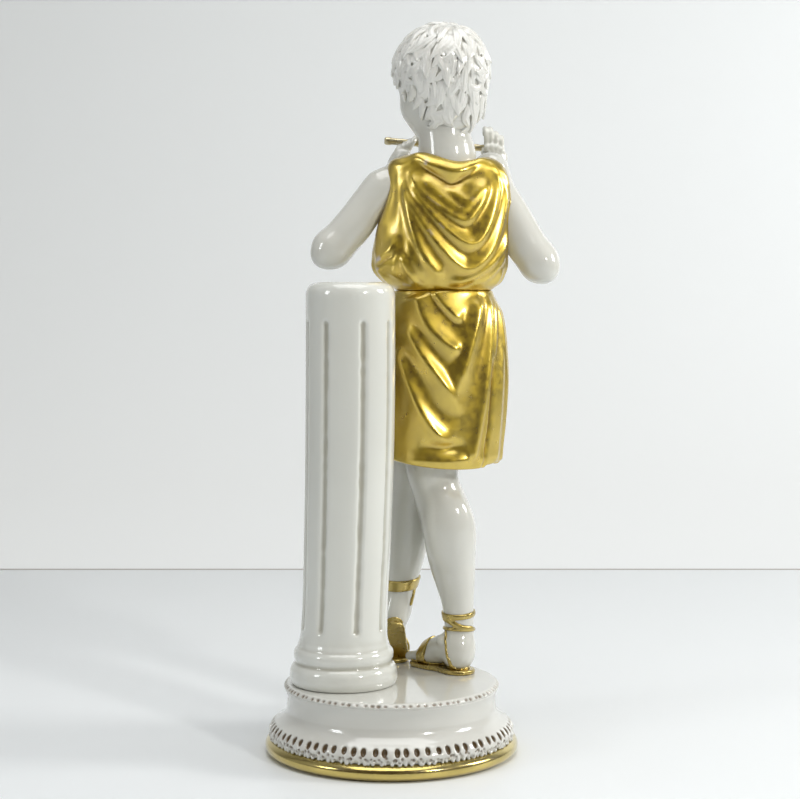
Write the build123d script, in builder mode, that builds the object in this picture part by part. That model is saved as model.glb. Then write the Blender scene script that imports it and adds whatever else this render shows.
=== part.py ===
from build123d import *
from math import cos, radians, sin
import os

# A porcelain boy with a flute, beside a fluted column on a round plinth. Millimetres.
# The origin is on the plinth's axis at the resting plane, +Z is up and the boy's chest faces -Y.

# Plinth heights, from the table up, and radii
band_top = 6.4
lower_rim_top = 14.6
drum_top = 25.9
plinth_height = 28.7
band_radius = 52.0
lower_rim_radius = 50.6
drum_waist_radius = 43.2
upper_rim_radius = 44.3
foot_inner_radius = 43.5
drum_inner_radius = 39.2
plate_radius = 41.6

# Column: its base stands upright and its shaft leans a little towards the boy
column_x = 19.6
column_y = 4.5
column_lean = 1.16
column_base_height = 9.8
column_collar_height = 7.0
column_base_radius = 23.0
column_collar_radius = 20.9
shaft_radius = 18.3
shaft_inner_radius = 14.5
shaft_length = 143.6
cap_height = 3.8
groove_count = 8
groove_radius = 1.3
groove_turn = 9.0
groove_low = 6.5
groove_high = 130.5

# Boy: the middle of the body, the hem, the waist and the shoulders
body_y = -20.0
hem_height = 116.0
leg_top = 130.0
web_top = 134.0
waist_height = 189.4
shoulder_height = 245.0
wall = 3.0
sole_thickness = 2.0

# Head: the middle of the skull, and how far it turns to the boy's left and nods
skull_centre = (-21.0, -19.5, 279.0)
skull_radius = 18.6
hair_radius = 21.3
hair_half_height = 23.2
head_turn = 35.0
head_nod = 12.0

flute_radius = 1.5
flute_start = (2.6, -47.0, 254.3)
flute_end = (-47.5, -51.5, 251.0)

os.makedirs("parts", exist_ok=True)


def upright(centre):
    """The plane through a centre that faces the boy's front, its own x along X and its own y up."""
    return Plane(origin=centre, x_dir=(1, 0, 0), z_dir=(0, -1, 0))


def spheroid(centre, radius, half_height, mode=Mode.ADD):
    """A ball stretched along Z."""
    with BuildSketch(upright(centre)) as half:
        Ellipse(radius, half_height)
        with Locations((-radius, 0)):
            Rectangle(2 * radius, 3 * half_height, mode=Mode.SUBTRACT)
    revolve(half.sketch, axis=Axis(centre, (0, 0, 1)), mode=mode)


def limb(stations):
    """A tapered limb through round sections, each (centre, radius), square to the limb's run."""
    run = Vector(*stations[-1][0]) - Vector(*stations[0][0])
    rings = []
    for centre, radius in stations:
        with BuildSketch(Plane(origin=centre, z_dir=run)) as ring:
            Circle(radius)
        rings.append(ring.sketch)
    loft(rings)


def trunk(stations, mode=Mode.ADD):
    """A body through level oval sections, each (height, middle x, middle y, half width, half depth)."""
    ovals = []
    for height, middle_x, middle_y, half_width, half_depth in stations:
        with BuildSketch(Plane(origin=(middle_x, middle_y, height))) as oval:
            Ellipse(half_width, half_depth)
        ovals.append(oval.sketch)
    loft(ovals, mode=mode)


def inside(stations, thickness):
    """The same sections, drawn in by a wall's thickness."""
    return [(*place, width - thickness, depth - thickness) for *place, width, depth in stations]


def head_point(forward, left, up):
    """A point of the head, from the middle of the skull, in the turned and nodding head's own axes."""
    turn = radians(head_turn)
    nod = radians(head_nod)
    level = forward * cos(nod) + up * -sin(nod)
    rise = up * cos(nod) - forward * sin(nod)
    return (
        skull_centre[0] + level * sin(turn) + left * cos(turn),
        skull_centre[1] - level * cos(turn) + left * sin(turn),
        skull_centre[2] + rise,
    )


# Plinth
with BuildPart() as gilt_foot_band:
    with BuildSketch(Plane.XZ) as band_profile:
        with BuildLine():
            Polyline((49.2, 0), (foot_inner_radius, 0), (foot_inner_radius, band_top), (49.6, band_top))
            ThreePointArc((49.6, band_top), (band_radius, 3.2), (49.2, 0))
        make_face()
    revolve(axis=Axis.Z)

with BuildPart() as lower_pricked_rim:
    with BuildSketch(Plane.XZ) as lower_rim_profile:
        with BuildLine():
            Polyline(
                (48.0, lower_rim_top),
                (foot_inner_radius, lower_rim_top),
                (foot_inner_radius, band_top),
                (48.9, band_top),
                (48.9, band_top + 0.9),
                (50.2, band_top + 1.2),
            )
            ThreePointArc((50.2, band_top + 1.2), (lower_rim_radius, 10.5), (48.0, lower_rim_top))
        make_face()
    revolve(axis=Axis.Z)

with BuildPart() as plinth_drum:
    with BuildSketch(Plane.XZ) as drum_profile:
        with BuildLine():
            Polyline(
                (43.6, drum_top),
                (drum_inner_radius, drum_top),
                (drum_inner_radius, lower_rim_top),
                (48.0, lower_rim_top),
            )
            ThreePointArc((48.0, lower_rim_top), (drum_waist_radius + 1.0, 17.6), (drum_waist_radius, 22.0))
            Line((drum_waist_radius, 22.0), (43.6, drum_top))
        make_face()
    revolve(axis=Axis.Z)

with BuildPart() as plinth_top:
    with BuildSketch(Plane.XY.offset(drum_top)):
        Circle(plate_radius)
    extrude(amount=plinth_height - drum_top)

with BuildPart() as upper_pricked_rim:
    with BuildSketch(Plane.XY.offset(drum_top)):
        Circle(upper_rim_radius)
        Circle(plate_radius, mode=Mode.SUBTRACT)
    extrude(amount=plinth_height - drum_top)
    fillet(upper_pricked_rim.edges().filter_by(GeomType.CIRCLE).sort_by(SortBy.RADIUS)[-2:], 0.8)

# Column
column_axis = Axis((column_x, column_y, 0), (0, 0, 1))
base_top = plinth_height + column_base_height
collar_top = base_top + column_collar_height
column_front = upright((column_x, column_y, 0))

with BuildPart() as column_base:
    with BuildSketch(column_front):
        with BuildLine():
            Polyline(
                (21.6, base_top),
                (shaft_inner_radius, base_top),
                (shaft_inner_radius, plinth_height),
                (21.8, plinth_height),
            )
            ThreePointArc((21.8, plinth_height), (column_base_radius, 33.8), (21.6, base_top))
        make_face()
    revolve(axis=column_axis)

with BuildPart() as column_collar:
    with BuildSketch(column_front):
        with BuildLine():
            Polyline(
                (20.2, collar_top),
                (shaft_inner_radius, collar_top),
                (shaft_inner_radius, base_top),
                (19.8, base_top),
                (19.8, base_top + 0.8),
            )
            ThreePointArc((19.8, base_top + 0.8), (column_collar_radius, 42.2), (20.2, collar_top))
        make_face()
    revolve(axis=column_axis)

lean = radians(column_lean)
shaft_start = Plane(
    origin=(column_x, column_y, collar_top),
    x_dir=(cos(lean), 0, sin(lean)),
    z_dir=(-sin(lean), 0, cos(lean)),
)
shaft_upright = Plane(origin=shaft_start.origin, x_dir=shaft_start.x_dir, z_dir=(0, -1, 0))
shaft_axis = Axis(shaft_start.origin, shaft_start.z_dir)

with BuildPart() as column_shaft:
    with BuildSketch(shaft_upright):
        with BuildLine():
            Polyline(
                (shaft_radius, shaft_length),
                (shaft_inner_radius, shaft_length),
                (shaft_inner_radius, -1),
                (19.9, -1),
                (19.9, 0.4),
            )
            ThreePointArc((19.9, 0.4), (18.8, 2.2), (shaft_radius, 5.0))
            Line((shaft_radius, 5.0), (shaft_radius, shaft_length))
        make_face()
    revolve(axis=shaft_axis)
    split(bisect_by=Plane.XY.offset(collar_top), keep=Keep.TOP)
    with Locations(shaft_start.offset((groove_low + groove_high) / 2)):
        with PolarLocations(shaft_radius + 0.2, groove_count, start_angle=groove_turn):
            Cylinder(groove_radius, groove_high - groove_low, mode=Mode.SUBTRACT)
    for groove_end in (groove_low, groove_high):
        with Locations(shaft_start.offset(groove_end)):
            with PolarLocations(shaft_radius + 0.2, groove_count, start_angle=groove_turn):
                Sphere(groove_radius, mode=Mode.SUBTRACT)

with BuildPart() as column_cap:
    with BuildSketch(shaft_start.offset(shaft_length)):
        Circle(shaft_radius)
    extrude(amount=cap_height)
    fillet(column_cap.edges().sort_by(shaft_axis)[-1], 3.2)

# Skirt and bodice of the tunic: (height, middle x, middle y, half width, half depth)
skirt_sections = [
    (hem_height, -19.6, body_y - 2.0, 26.0, 21.5),
    (132.0, -20.4, body_y - 1.6, 27.2, 21.2),
    (151.0, -21.6, body_y - 0.8, 27.2, 20.0),
    (176.0, -22.0, body_y, 24.6, 17.0),
    (waist_height, -21.9, body_y, 20.2, 14.5),
]
bodice_sections = [
    (waist_height, -21.9, body_y, 20.2, 14.5),
    (194.0, -20.6, body_y, 25.0, 17.5),
    (203.0, -20.0, body_y, 28.8, 18.5),
    (214.0, -21.0, body_y, 28.8, 18.0),
    (225.0, -23.0, body_y, 27.4, 16.5),
    (236.0, -24.2, body_y, 25.4, 14.0),
    (shoulder_height, -24.2, body_y, 16.5, 11.5),
]
web_sections = [(leg_top, -20.3, body_y - 1.6, 25.4, 19.6), (web_top, -20.5, body_y - 1.5, 25.4, 19.6)]

with BuildPart() as skirt:
    trunk(skirt_sections)
    trunk(inside(skirt_sections, wall), mode=Mode.SUBTRACT)
    trunk(web_sections)

with BuildPart() as bodice:
    trunk(bodice_sections)
    trunk(inside(bodice_sections[:-1], wall), mode=Mode.SUBTRACT)

# Legs stand on the soles and end under the web that closes the skirt
right_ankle = (-28.4, -15.5, 44.0)
left_ankle = (-3.6, -33.0, 61.0)

with BuildPart() as right_leg:
    limb(
        [
            (right_ankle, 6.5),
            ((-27.6, -15.5, 54.5), 7.2),
            ((-24.6, -16.0, 79.0), 10.6),
            ((-21.6, -17.0, 97.0), 10.8),
            ((-19.8, -18.5, 112.0), 11.2),
            ((-19.6, -19.0, 134.0), 12.0),
        ]
    )
    split(bisect_by=Plane.XY.offset(leg_top), keep=Keep.BOTTOM)

with BuildPart() as left_leg:
    limb(
        [
            (left_ankle, 6.2),
            ((-4.0, -33.0, 68.0), 7.0),
            ((-6.0, -33.0, 86.0), 9.8),
            ((-8.0, -31.0, 100.0), 10.0),
            ((-9.8, -28.0, 112.0), 9.8),
            ((-10.8, -25.5, 134.0), 10.2),
        ]
    )
    split(bisect_by=Plane.XY.offset(leg_top), keep=Keep.BOTTOM)
    add(right_leg.part, mode=Mode.SUBTRACT)

# Sandal soles: the right one lies flat, the left one stands on its toes
right_heel = Vector(-28.0, -12.8, plinth_height)
right_toes = Vector(-13.6, -29.0, plinth_height)
right_run = (right_toes - right_heel).normalized()
right_length = (right_toes - right_heel).length
right_flat = Plane(origin=right_heel, x_dir=right_run, z_dir=(0, 0, 1))

with BuildPart() as right_sole:
    with BuildSketch(right_flat):
        with BuildLine():
            Line((0, 6.6), (right_length, 7.4))
            TangentArc((right_length, 7.4), (right_length, -7.4), tangent=(1, 0.04))
            Line((right_length, -7.4), (0, -6.6))
            TangentArc((0, -6.6), (0, 6.6), tangent=(-1, 0.03))
        make_face()
    extrude(amount=sole_thickness)

with BuildPart() as right_foot:
    limb(
        [
            (right_heel + Vector(0, 0, 9.0) - right_run * 5.4, 3.4),
            (right_heel + Vector(0, 0, 9.0), 6.6),
            (right_heel + Vector(0, 0, 8.6) + right_run * 8, 6.8),
            (right_heel + Vector(0, 0, 7.0) + right_run * 15, 6.4),
            (right_heel + Vector(0, 0, 5.4) + right_run * 23, 5.0),
            (right_heel + Vector(0, 0, 4.6) + right_run * 27.5, 2.4),
        ]
    )
    with BuildSketch(Plane(origin=(right_ankle[0], right_ankle[1], 34.0))) as heel_ring:
        Circle(6.2)
    with BuildSketch(Plane(origin=right_ankle)) as ankle_ring:
        Circle(6.4)
    loft([heel_ring.sketch, ankle_ring.sketch])
    split(bisect_by=Plane.XY.offset(plinth_height + sole_thickness), keep=Keep.TOP)
    add(right_leg.part, mode=Mode.SUBTRACT)

left_ball = Vector(0.8, -36.0, plinth_height + 1.2)
left_heel = Vector(-2.4, -26.6, 51.5)
left_run = (left_ball - left_heel).normalized()
left_length = (left_ball - left_heel).length
left_across = Vector(1, 0, 0.15)
left_face = Plane(origin=left_heel, x_dir=left_run, z_dir=left_across.cross(left_run))

with BuildPart() as left_sole:
    with BuildSketch(left_face):
        with BuildLine():
            Line((0, 5.2), (left_length, 7.4))
            Line((left_length, 7.4), (left_length, -7.4))
            Line((left_length, -7.4), (0, -5.2))
            TangentArc((0, -5.2), (0, 5.2), tangent=(-1, 0.1))
        make_face()
    extrude(amount=-sole_thickness)
    with BuildSketch(Plane.XY.offset(plinth_height)):
        with Locations((0.8, -38.2)):
            SlotOverall(14.8, 9.6)
    extrude(amount=sole_thickness)
    split(bisect_by=Plane.XY.offset(plinth_height), keep=Keep.TOP)

with BuildPart() as left_foot:
    limb(
        [
            ((-2.9, -31.5, 57.0), 6.2),
            ((-2.2, -33.6, 48.0), 6.4),
            ((-0.8, -35.8, 39.0), 6.0),
            ((0.8, -38.0, 31.0), 4.8),
        ]
    )
    limb([(left_ankle, 6.4), ((-2.9, -31.5, 52.0), 6.0)])
    split(bisect_by=Plane.XY.offset(plinth_height + sole_thickness), keep=Keep.TOP)
    split(bisect_by=left_face.offset(-sole_thickness), keep=Keep.BOTTOM)
    add(left_sole.part, mode=Mode.SUBTRACT)
    add(left_leg.part, mode=Mode.SUBTRACT)


def strap_ring(leg_middle, height, radius, strap_width):
    """A flat round strap about a leg."""
    with BuildSketch(Plane(origin=(leg_middle[0], leg_middle[1], height - strap_width / 2))) as ring:
        Circle(radius)
    extrude(ring.sketch, amount=strap_width)


with BuildPart() as right_ankle_straps:
    strap_ring((-27.7, -15.5), 53.0, 8.3, 2.6)
    strap_ring((-28.1, -15.5), 47.4, 7.9, 1.8)
    strap_ring((-27.9, -15.5), 50.0, 7.7, 3.4)
    add(right_leg.part, mode=Mode.SUBTRACT)
    add(right_foot.part, mode=Mode.SUBTRACT)

with BuildPart() as left_ankle_straps:
    strap_ring((-3.9, -33.0), 66.0, 8.2, 5.0)
    add(left_leg.part, mode=Mode.SUBTRACT)

with BuildPart() as right_foot_straps:
    with BuildSketch(Plane(origin=right_heel + right_run * 18 + Vector(0, 0, 4.4), z_dir=right_run)):
        Ellipse(7.4, 8.2)
    extrude(amount=4.0)
    split(bisect_by=Plane.XY.offset(plinth_height + sole_thickness), keep=Keep.TOP)
    add(right_foot.part, mode=Mode.SUBTRACT)

with BuildPart() as left_foot_straps:
    with BuildSketch(Plane(origin=(-1.4, -34.7, 42.0), z_dir=(0, 0.2, 1))):
        Ellipse(7.6, 7.6)
    extrude(amount=3.4)
    split(bisect_by=left_face.offset(-sole_thickness), keep=Keep.BOTTOM)
    add(left_foot.part, mode=Mode.SUBTRACT)
    add(left_sole.part, mode=Mode.SUBTRACT)

# Arms, from the shoulders down to the elbows and up to the flute
right_shoulder = (-43.0, -19.8, 238.0)
right_elbow = (-62.8, -16.5, 203.5)
right_wrist = (-50.0, -41.0, 237.0)
left_shoulder = (-3.0, -19.8, 238.0)
left_elbow = (26.4, -17.5, 206.5)
left_wrist = (-1.0, -42.0, 238.0)


def between(start, end, share):
    """The point a share of the way from one point to another."""
    return tuple(a + (b - a) * share for a, b in zip(start, end))


def upper_arm(shoulder, elbow, shoulder_radius, elbow_radius):
    """An upper arm with a rounded elbow, less the bodice that it meets and the hollow inside it."""
    run = (Vector(*elbow) - Vector(*shoulder)).normalized()
    tip = Vector(*elbow) + run * elbow_radius * 0.75
    limb(
        [
            (shoulder, shoulder_radius),
            (between(shoulder, elbow, 0.5), shoulder_radius + 0.4),
            (elbow, elbow_radius),
            (tuple(tip), elbow_radius * 0.55),
        ]
    )
    add(bodice.part, mode=Mode.SUBTRACT)
    trunk(inside(bodice_sections[:-1], wall), mode=Mode.SUBTRACT)


def forearm(elbow, wrist, elbow_radius, wrist_radius, arm_above):
    """A forearm that grows out of the upper arm's elbow."""
    limb([(elbow, elbow_radius), (between(elbow, wrist, 0.35), elbow_radius + 0.4), (wrist, wrist_radius)])
    add(arm_above.part, mode=Mode.SUBTRACT)
    add(bodice.part, mode=Mode.SUBTRACT)


with BuildPart() as right_upper_arm:
    upper_arm(right_shoulder, right_elbow, 8.6, 8.0)

with BuildPart() as left_upper_arm:
    upper_arm(left_shoulder, left_elbow, 8.4, 7.4)

with BuildPart() as right_forearm:
    forearm(right_elbow, right_wrist, 7.2, 5.0, right_upper_arm)

with BuildPart() as left_forearm:
    forearm(left_elbow, left_wrist, 6.8, 4.8, left_upper_arm)

# Flute
with BuildPart() as flute:
    flute_run = Vector(*flute_end) - Vector(*flute_start)
    with BuildSketch(Plane(origin=flute_start, z_dir=flute_run)):
        Circle(flute_radius)
    extrude(amount=flute_run.length)

# Head, with its nose, chin and ears, on a neck that meets the bodice
with BuildPart() as head:
    spheroid(skull_centre, skull_radius, 20.0)
    spheroid(head_point(5.5, 0, -9.5), 14.2, 15.5)
    spheroid(head_point(17.6, 0, -9.0), 2.6, 4.2)
    spheroid(head_point(-1.0, 17.6, -7.0), 3.0, 5.0)
    spheroid(head_point(-1.0, -17.6, -7.0), 3.0, 5.0)
    add(flute.part, mode=Mode.SUBTRACT)

with BuildPart() as neck:
    limb([((-24.0, -20.5, 240.0), 12.2), ((-23.4, -21.0, 249.0), 10.6), ((-22.0, -21.5, 263.0), 9.8)])
    add(bodice.part, mode=Mode.SUBTRACT)
    trunk(inside(bodice_sections[:-1], wall), mode=Mode.SUBTRACT)
    add(head.part, mode=Mode.SUBTRACT)

with BuildPart() as cowl_collar:
    with BuildSketch(upright((-23.8, -20.4, 0))):
        with Locations((13.6, shoulder_height - 0.6)):
            Ellipse(5.2, 4.2)
    revolve(axis=Axis((-23.8, -20.4, 0), (0, 0, 1)))
    add(bodice.part, mode=Mode.SUBTRACT)
    add(neck.part, mode=Mode.SUBTRACT)
    for shoulder_part in (right_upper_arm, left_upper_arm):
        add(shoulder_part.part, mode=Mode.SUBTRACT)

# Hair: a cap over the skull, cut away in front of the ears
face_side = Vector(*head_point(1, 0, 0)) - Vector(*head_point(0, 0, 0))
hairline = Plane(origin=head_point(9.0, 0, 4.0), z_dir=(face_side + Vector(0, 0, -0.9)))
with BuildPart() as hair:
    spheroid(skull_centre, hair_radius, hair_half_height)
    split(bisect_by=hairline, keep=Keep.BOTTOM)
    add(head.part, mode=Mode.SUBTRACT)
    add(neck.part, mode=Mode.SUBTRACT)


# Hands: a palm and four fingers that close on the flute
def hand(wrist, knuckles, finger_rise, finger_gap):
    """A palm from the wrist to the knuckles, and four fingers set side by side along the flute."""
    limb([(wrist, 4.8), (between(wrist, knuckles, 0.6), 5.6), (knuckles, 4.6)])
    for number in range(4):
        root = Vector(*knuckles) + Vector(*finger_gap) * (number - 1.5)
        limb([(root - Vector(*finger_rise) * 0.2, 1.7), (root + Vector(*finger_rise), 1.3)])


with BuildPart() as right_hand:
    hand(right_wrist, (-45.6, -45.8, 246.0), (0.5, -0.8, 13.0), (-2.9, 0.3, 0.3))
    add(right_forearm.part, mode=Mode.SUBTRACT)
    add(flute.part, mode=Mode.SUBTRACT)

with BuildPart() as left_hand:
    hand(left_wrist, (-5.0, -44.6, 245.0), (-1.6, 0.4, 7.6), (2.6, 0.3, 0.4))
    add(left_forearm.part, mode=Mode.SUBTRACT)
    add(flute.part, mode=Mode.SUBTRACT)
    add(head.part, mode=Mode.SUBTRACT)
    add(cowl_collar.part, mode=Mode.SUBTRACT)

pieces = {
    "gilt_foot_band": gilt_foot_band,
    "lower_pricked_rim": lower_pricked_rim,
    "plinth_drum": plinth_drum,
    "plinth_top": plinth_top,
    "upper_pricked_rim": upper_pricked_rim,
    "column_base": column_base,
    "column_collar": column_collar,
    "column_shaft": column_shaft,
    "column_cap": column_cap,
    "skirt": skirt,
    "bodice": bodice,
    "cowl_collar": cowl_collar,
    "right_leg": right_leg,
    "left_leg": left_leg,
    "right_foot": right_foot,
    "left_foot": left_foot,
    "right_sole": right_sole,
    "left_sole": left_sole,
    "right_ankle_straps": right_ankle_straps,
    "left_ankle_straps": left_ankle_straps,
    "right_foot_straps": right_foot_straps,
    "left_foot_straps": left_foot_straps,
    "right_upper_arm": right_upper_arm,
    "left_upper_arm": left_upper_arm,
    "right_forearm": right_forearm,
    "left_forearm": left_forearm,
    "right_hand": right_hand,
    "left_hand": left_hand,
    "flute": flute,
    "neck": neck,
    "head": head,
    "hair": hair,
}
for name, piece in pieces.items():
    piece.part.label = name
    export_step(piece.part, f"parts/{name}.step")
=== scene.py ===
from math import ceil, cos, floor, pi, radians, sin

import bpy
import numpy as np
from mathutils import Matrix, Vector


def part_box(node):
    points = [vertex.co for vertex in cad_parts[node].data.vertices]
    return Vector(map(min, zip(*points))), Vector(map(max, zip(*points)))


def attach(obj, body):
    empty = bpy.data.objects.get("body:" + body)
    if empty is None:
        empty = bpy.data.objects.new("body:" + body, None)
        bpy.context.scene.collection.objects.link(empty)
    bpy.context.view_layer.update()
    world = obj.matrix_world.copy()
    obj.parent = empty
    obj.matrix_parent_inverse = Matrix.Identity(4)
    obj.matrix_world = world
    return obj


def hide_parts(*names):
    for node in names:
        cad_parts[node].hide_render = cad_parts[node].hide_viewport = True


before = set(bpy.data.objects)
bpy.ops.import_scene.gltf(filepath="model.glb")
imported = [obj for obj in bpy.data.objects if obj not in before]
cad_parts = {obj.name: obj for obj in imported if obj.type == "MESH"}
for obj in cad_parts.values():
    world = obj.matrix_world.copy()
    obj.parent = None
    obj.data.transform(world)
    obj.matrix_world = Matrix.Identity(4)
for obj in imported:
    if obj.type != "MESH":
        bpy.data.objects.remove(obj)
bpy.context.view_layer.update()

import openvdb as vdb

# The porcelain boy is modelled in signed-distance clay. Lengths are millimetres in the CAD frame, +Z up,
# the boy's chest faces -Y and the column stands on his left, +X. Meshes are made in metres.
MM = 0.001
FAR = 9.0  # the distance that empty clay holds
MARGIN = 1.5  # room left about the turned pieces for their surface
rng = np.random.default_rng(7)


def box_ends(node):
    """The low and high corners of a CAD node's box in millimetres."""
    return (np.array(end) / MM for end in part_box(node))


def corner(node, end, axis):
    """One coordinate of a CAD node's box in millimetres: end 0 is low and 1 is high."""
    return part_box(node)[end][axis] / MM


def middle(node, axis):
    return (corner(node, 0, axis) + corner(node, 1, axis)) / 2


# ---------------------------------------------------------------- clay
def unit(vector):
    vector = np.asarray(vector, float)
    return vector / np.linalg.norm(vector)


def curve(points, step=1.0):
    """Points along a smooth curve through a few points, about a step apart, in any number of dimensions."""
    points = np.asarray(points, float)
    if len(points) == 2:
        count = max(2, int(np.linalg.norm(points[1] - points[0]) / step) + 1)
        return np.linspace(points[0], points[1], count)
    padded = np.vstack([2 * points[0] - points[1], points, 2 * points[-1] - points[-2]])
    out = []
    for a, b, c, d in zip(padded[:-3], padded[1:-2], padded[2:-1], padded[3:]):
        count = max(1, int(np.linalg.norm((c - b)[:3]) / step))
        for t in np.arange(count) / count:
            bend = 2 * b + (c - a) * t + (2 * a - 5 * b + 4 * c - d) * t**2 + (3 * b - a - 3 * c + d) * t**3
            out.append(bend / 2)
    out.append(points[-1])
    return np.array(out)


def ease(share):
    """Smooths a run from 0 to 1 at both ends."""
    return share * share * (3 - 2 * share)


def measure(axes, start, way):
    """How far every point of a grid lies from start, measured along a way."""
    return sum((axis - s) * w for axis, s, w in zip(axes, start, way))


def blur(field, times):
    """Softens a grid along its three axes, a quarter, a half and a quarter at a time."""
    for _ in range(times):
        for axis in range(3):
            rows = np.moveaxis(field, axis, 0)
            soft = rows.copy()
            soft[1:-1] = 0.5 * rows[1:-1] + 0.25 * (rows[:-2] + rows[2:])
            field = np.moveaxis(soft, 0, axis)
    return np.ascontiguousarray(field)


def round_union(a, b, blend):
    gap = np.maximum(blend - np.abs(a - b), 0) / blend
    return np.minimum(a, b) - gap * gap * blend / 4


def round_overlap(a, b, blend):
    return -round_union(-a, -b, blend)


def relax(points, quads):
    """Evens out the corners of a closed mesh without shrinking it, so that no sliver is left."""
    start, end = quads.ravel(), np.roll(quads, -1, 1).ravel()
    count = np.maximum(np.bincount(start, minlength=len(points)), 1)[:, None]
    for pull in (0.5, -0.53, 0.5, -0.53):
        total = np.stack([np.bincount(start, points[end, i], len(points)) for i in range(3)], -1)
        points = points + pull * (total / count - points)
    return points


class Clay:
    """A block of clay: signed distances on a grid, negative inside, and tools that add to it or carve it."""

    def __init__(self, low, high, voxel):
        self.voxel = voxel
        self.low = np.asarray(low, float)
        size = np.ceil((np.asarray(high, float) - self.low) / voxel).astype(int) + 1
        self.field = np.full(size, FAR, np.float32)
        self.grid = [(self.low[i] + voxel * np.arange(size[i])).astype(np.float32) for i in range(3)]

    def copy(self):
        other = Clay.__new__(Clay)
        other.voxel, other.low, other.grid, other.field = self.voxel, self.low, self.grid, self.field.copy()
        return other

    def axes(self, spans=(slice(None),) * 3):
        x, y, z = (self.grid[i][spans[i]] for i in range(3))
        return x[:, None, None], y[None, :, None], z[None, None, :]

    def window(self, low, high):
        """The slices of the grid that hold a box, or None outside it."""
        spans = []
        for i in range(3):
            start = max(0, floor((low[i] - self.low[i]) / self.voxel))
            stop = min(self.field.shape[i], ceil((high[i] - self.low[i]) / self.voxel) + 1)
            if start >= stop:
                return None
            spans.append(slice(start, stop))
        return tuple(spans)

    def merge(self, spans, distance, blend, carve):
        old = self.field[spans]
        if carve:
            self.field[spans] = round_overlap(old, -distance, blend)
        else:
            self.field[spans] = round_union(old, distance, blend)

    def tube_distance(self, points, radii, reach):
        """The distance to a tube through points with a radius at each, and the slices that it fills."""
        spans = self.window(points.min(0) - reach, points.max(0) + reach)
        if spans is None:
            return None, None
        distance = np.full([s.stop - s.start for s in spans], FAR, np.float32)
        for a, b, ra, rb in zip(points[:-1], points[1:], radii[:-1], radii[1:]):
            near = self.window(np.minimum(a, b) - reach, np.maximum(a, b) + reach)
            if near is None:
                continue
            axes, run = self.axes(near), b - a
            t = np.clip(measure(axes, a, run) / max(float(run @ run), 1e-9), 0, 1)
            off = sum((axis - a[i] - t * run[i]) ** 2 for i, axis in enumerate(axes))
            new = np.sqrt(off) - (ra + (rb - ra) * t)
            inner = tuple(slice(n.start - s.start, n.stop - s.start) for n, s in zip(near, spans))
            distance[inner] = np.minimum(distance[inner], new)
        return spans, distance

    def tube(self, points, radii, blend=0.6, carve=False):
        points = np.asarray(points, float)
        radii = np.broadcast_to(np.asarray(radii, float), len(points))
        reach = radii.max() + blend + 2 * self.voxel
        spans, distance = self.tube_distance(points, radii, reach)
        if spans is not None:
            self.merge(spans, distance, blend, carve)

    def limb(self, stations, blend=1.0, step=1.5):
        """A smooth tapered limb through stations, each (x, y, z, radius)."""
        path = curve(stations, step)
        self.tube(path[:, :3], path[:, 3], blend)

    def ball(self, centre, radii, turn=None, blend=0.6, carve=False):
        """An ellipsoid whose own axes are the rows of turn."""
        centre = np.asarray(centre, float)
        radii = np.broadcast_to(np.asarray(radii, float), 3)
        reach = radii.max() + blend + 2 * self.voxel
        spans = self.window(centre - reach, centre + reach)
        if spans is None:
            return
        rows = np.eye(3) if turn is None else turn
        offsets = [measure(self.axes(spans), centre, row) for row in rows]
        near = np.sqrt(sum((off / radius) ** 2 for off, radius in zip(offsets, radii)))
        slope = np.sqrt(sum((off / radius**2) ** 2 for off, radius in zip(offsets, radii)))
        self.merge(spans, near * (near - 1) / np.maximum(slope, 1e-6), blend, carve)

    def keep_side(self, point, normal, blend=0.4):
        """Cuts away what lies beyond a plane, on the side that its normal points to."""
        self.field = round_overlap(self.field, measure(self.axes(), point, unit(normal)), blend)

    def sample(self, field, points):
        """A grid's values at points, by straight interpolation."""
        at = (points - self.low) / self.voxel
        base = np.clip(np.floor(at).astype(int), 0, np.array(field.shape) - 2)
        part = at - base
        total = 0
        for step in np.ndindex(2, 2, 2):
            weight = np.prod(np.where(step, part, 1 - part), axis=1)
            total = total + weight * field[tuple((base + step).T)]
        return total

    def piece(self, name, material, nodes, slot, soften=1, feel=0.9, uncut=None):
        """Fires the clay: a closed mesh that stands for CAD nodes. It stores how far it bulges or dips,
        against its own surroundings or against the uncut field."""
        field = np.pad(blur(self.field, soften), 1, constant_values=FAR)
        grid = vdb.FloatGrid(background=FAR)
        grid.copyFromArray(field)
        points, quads = grid.convertToQuads(isovalue=0.0)
        points = relax((points - 1) * self.voxel + self.low, quads)
        corners = points[quads]
        across = np.cross(corners[:, 2] - corners[:, 0], corners[:, 3] - corners[:, 1])
        if np.einsum("ij,ij->", across, corners[:, 0]) < 0:
            quads = quads[:, ::-1]
        mesh = bpy.data.meshes.new(name)
        mesh.vertices.add(len(points))
        mesh.vertices.foreach_set("co", (points * MM).astype(np.float32).ravel())
        mesh.loops.add(quads.size)
        mesh.loops.foreach_set("vertex_index", quads.astype(np.int32).ravel())
        mesh.polygons.add(len(quads))
        mesh.polygons.foreach_set("loop_start", np.arange(0, quads.size, 4, dtype=np.int32))
        mesh.update(calc_edges=True)
        mesh.shade_smooth()
        if uncut is None:
            wide = blur(self.field, round(2 * (feel / self.voxel) ** 2))
            swell = self.sample(wide, points) - self.sample(blur(self.field, soften), points)
        else:
            swell = self.sample(uncut, points)
        mesh.attributes.new("swell", "FLOAT", "POINT").data.foreach_set("value", swell.astype(np.float32))
        piece = bpy.data.objects.new(name, mesh)
        bpy.context.scene.collection.objects.link(piece)
        mesh.materials.append(material)
        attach(piece, "root")
        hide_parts(*nodes)
        return piece


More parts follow.
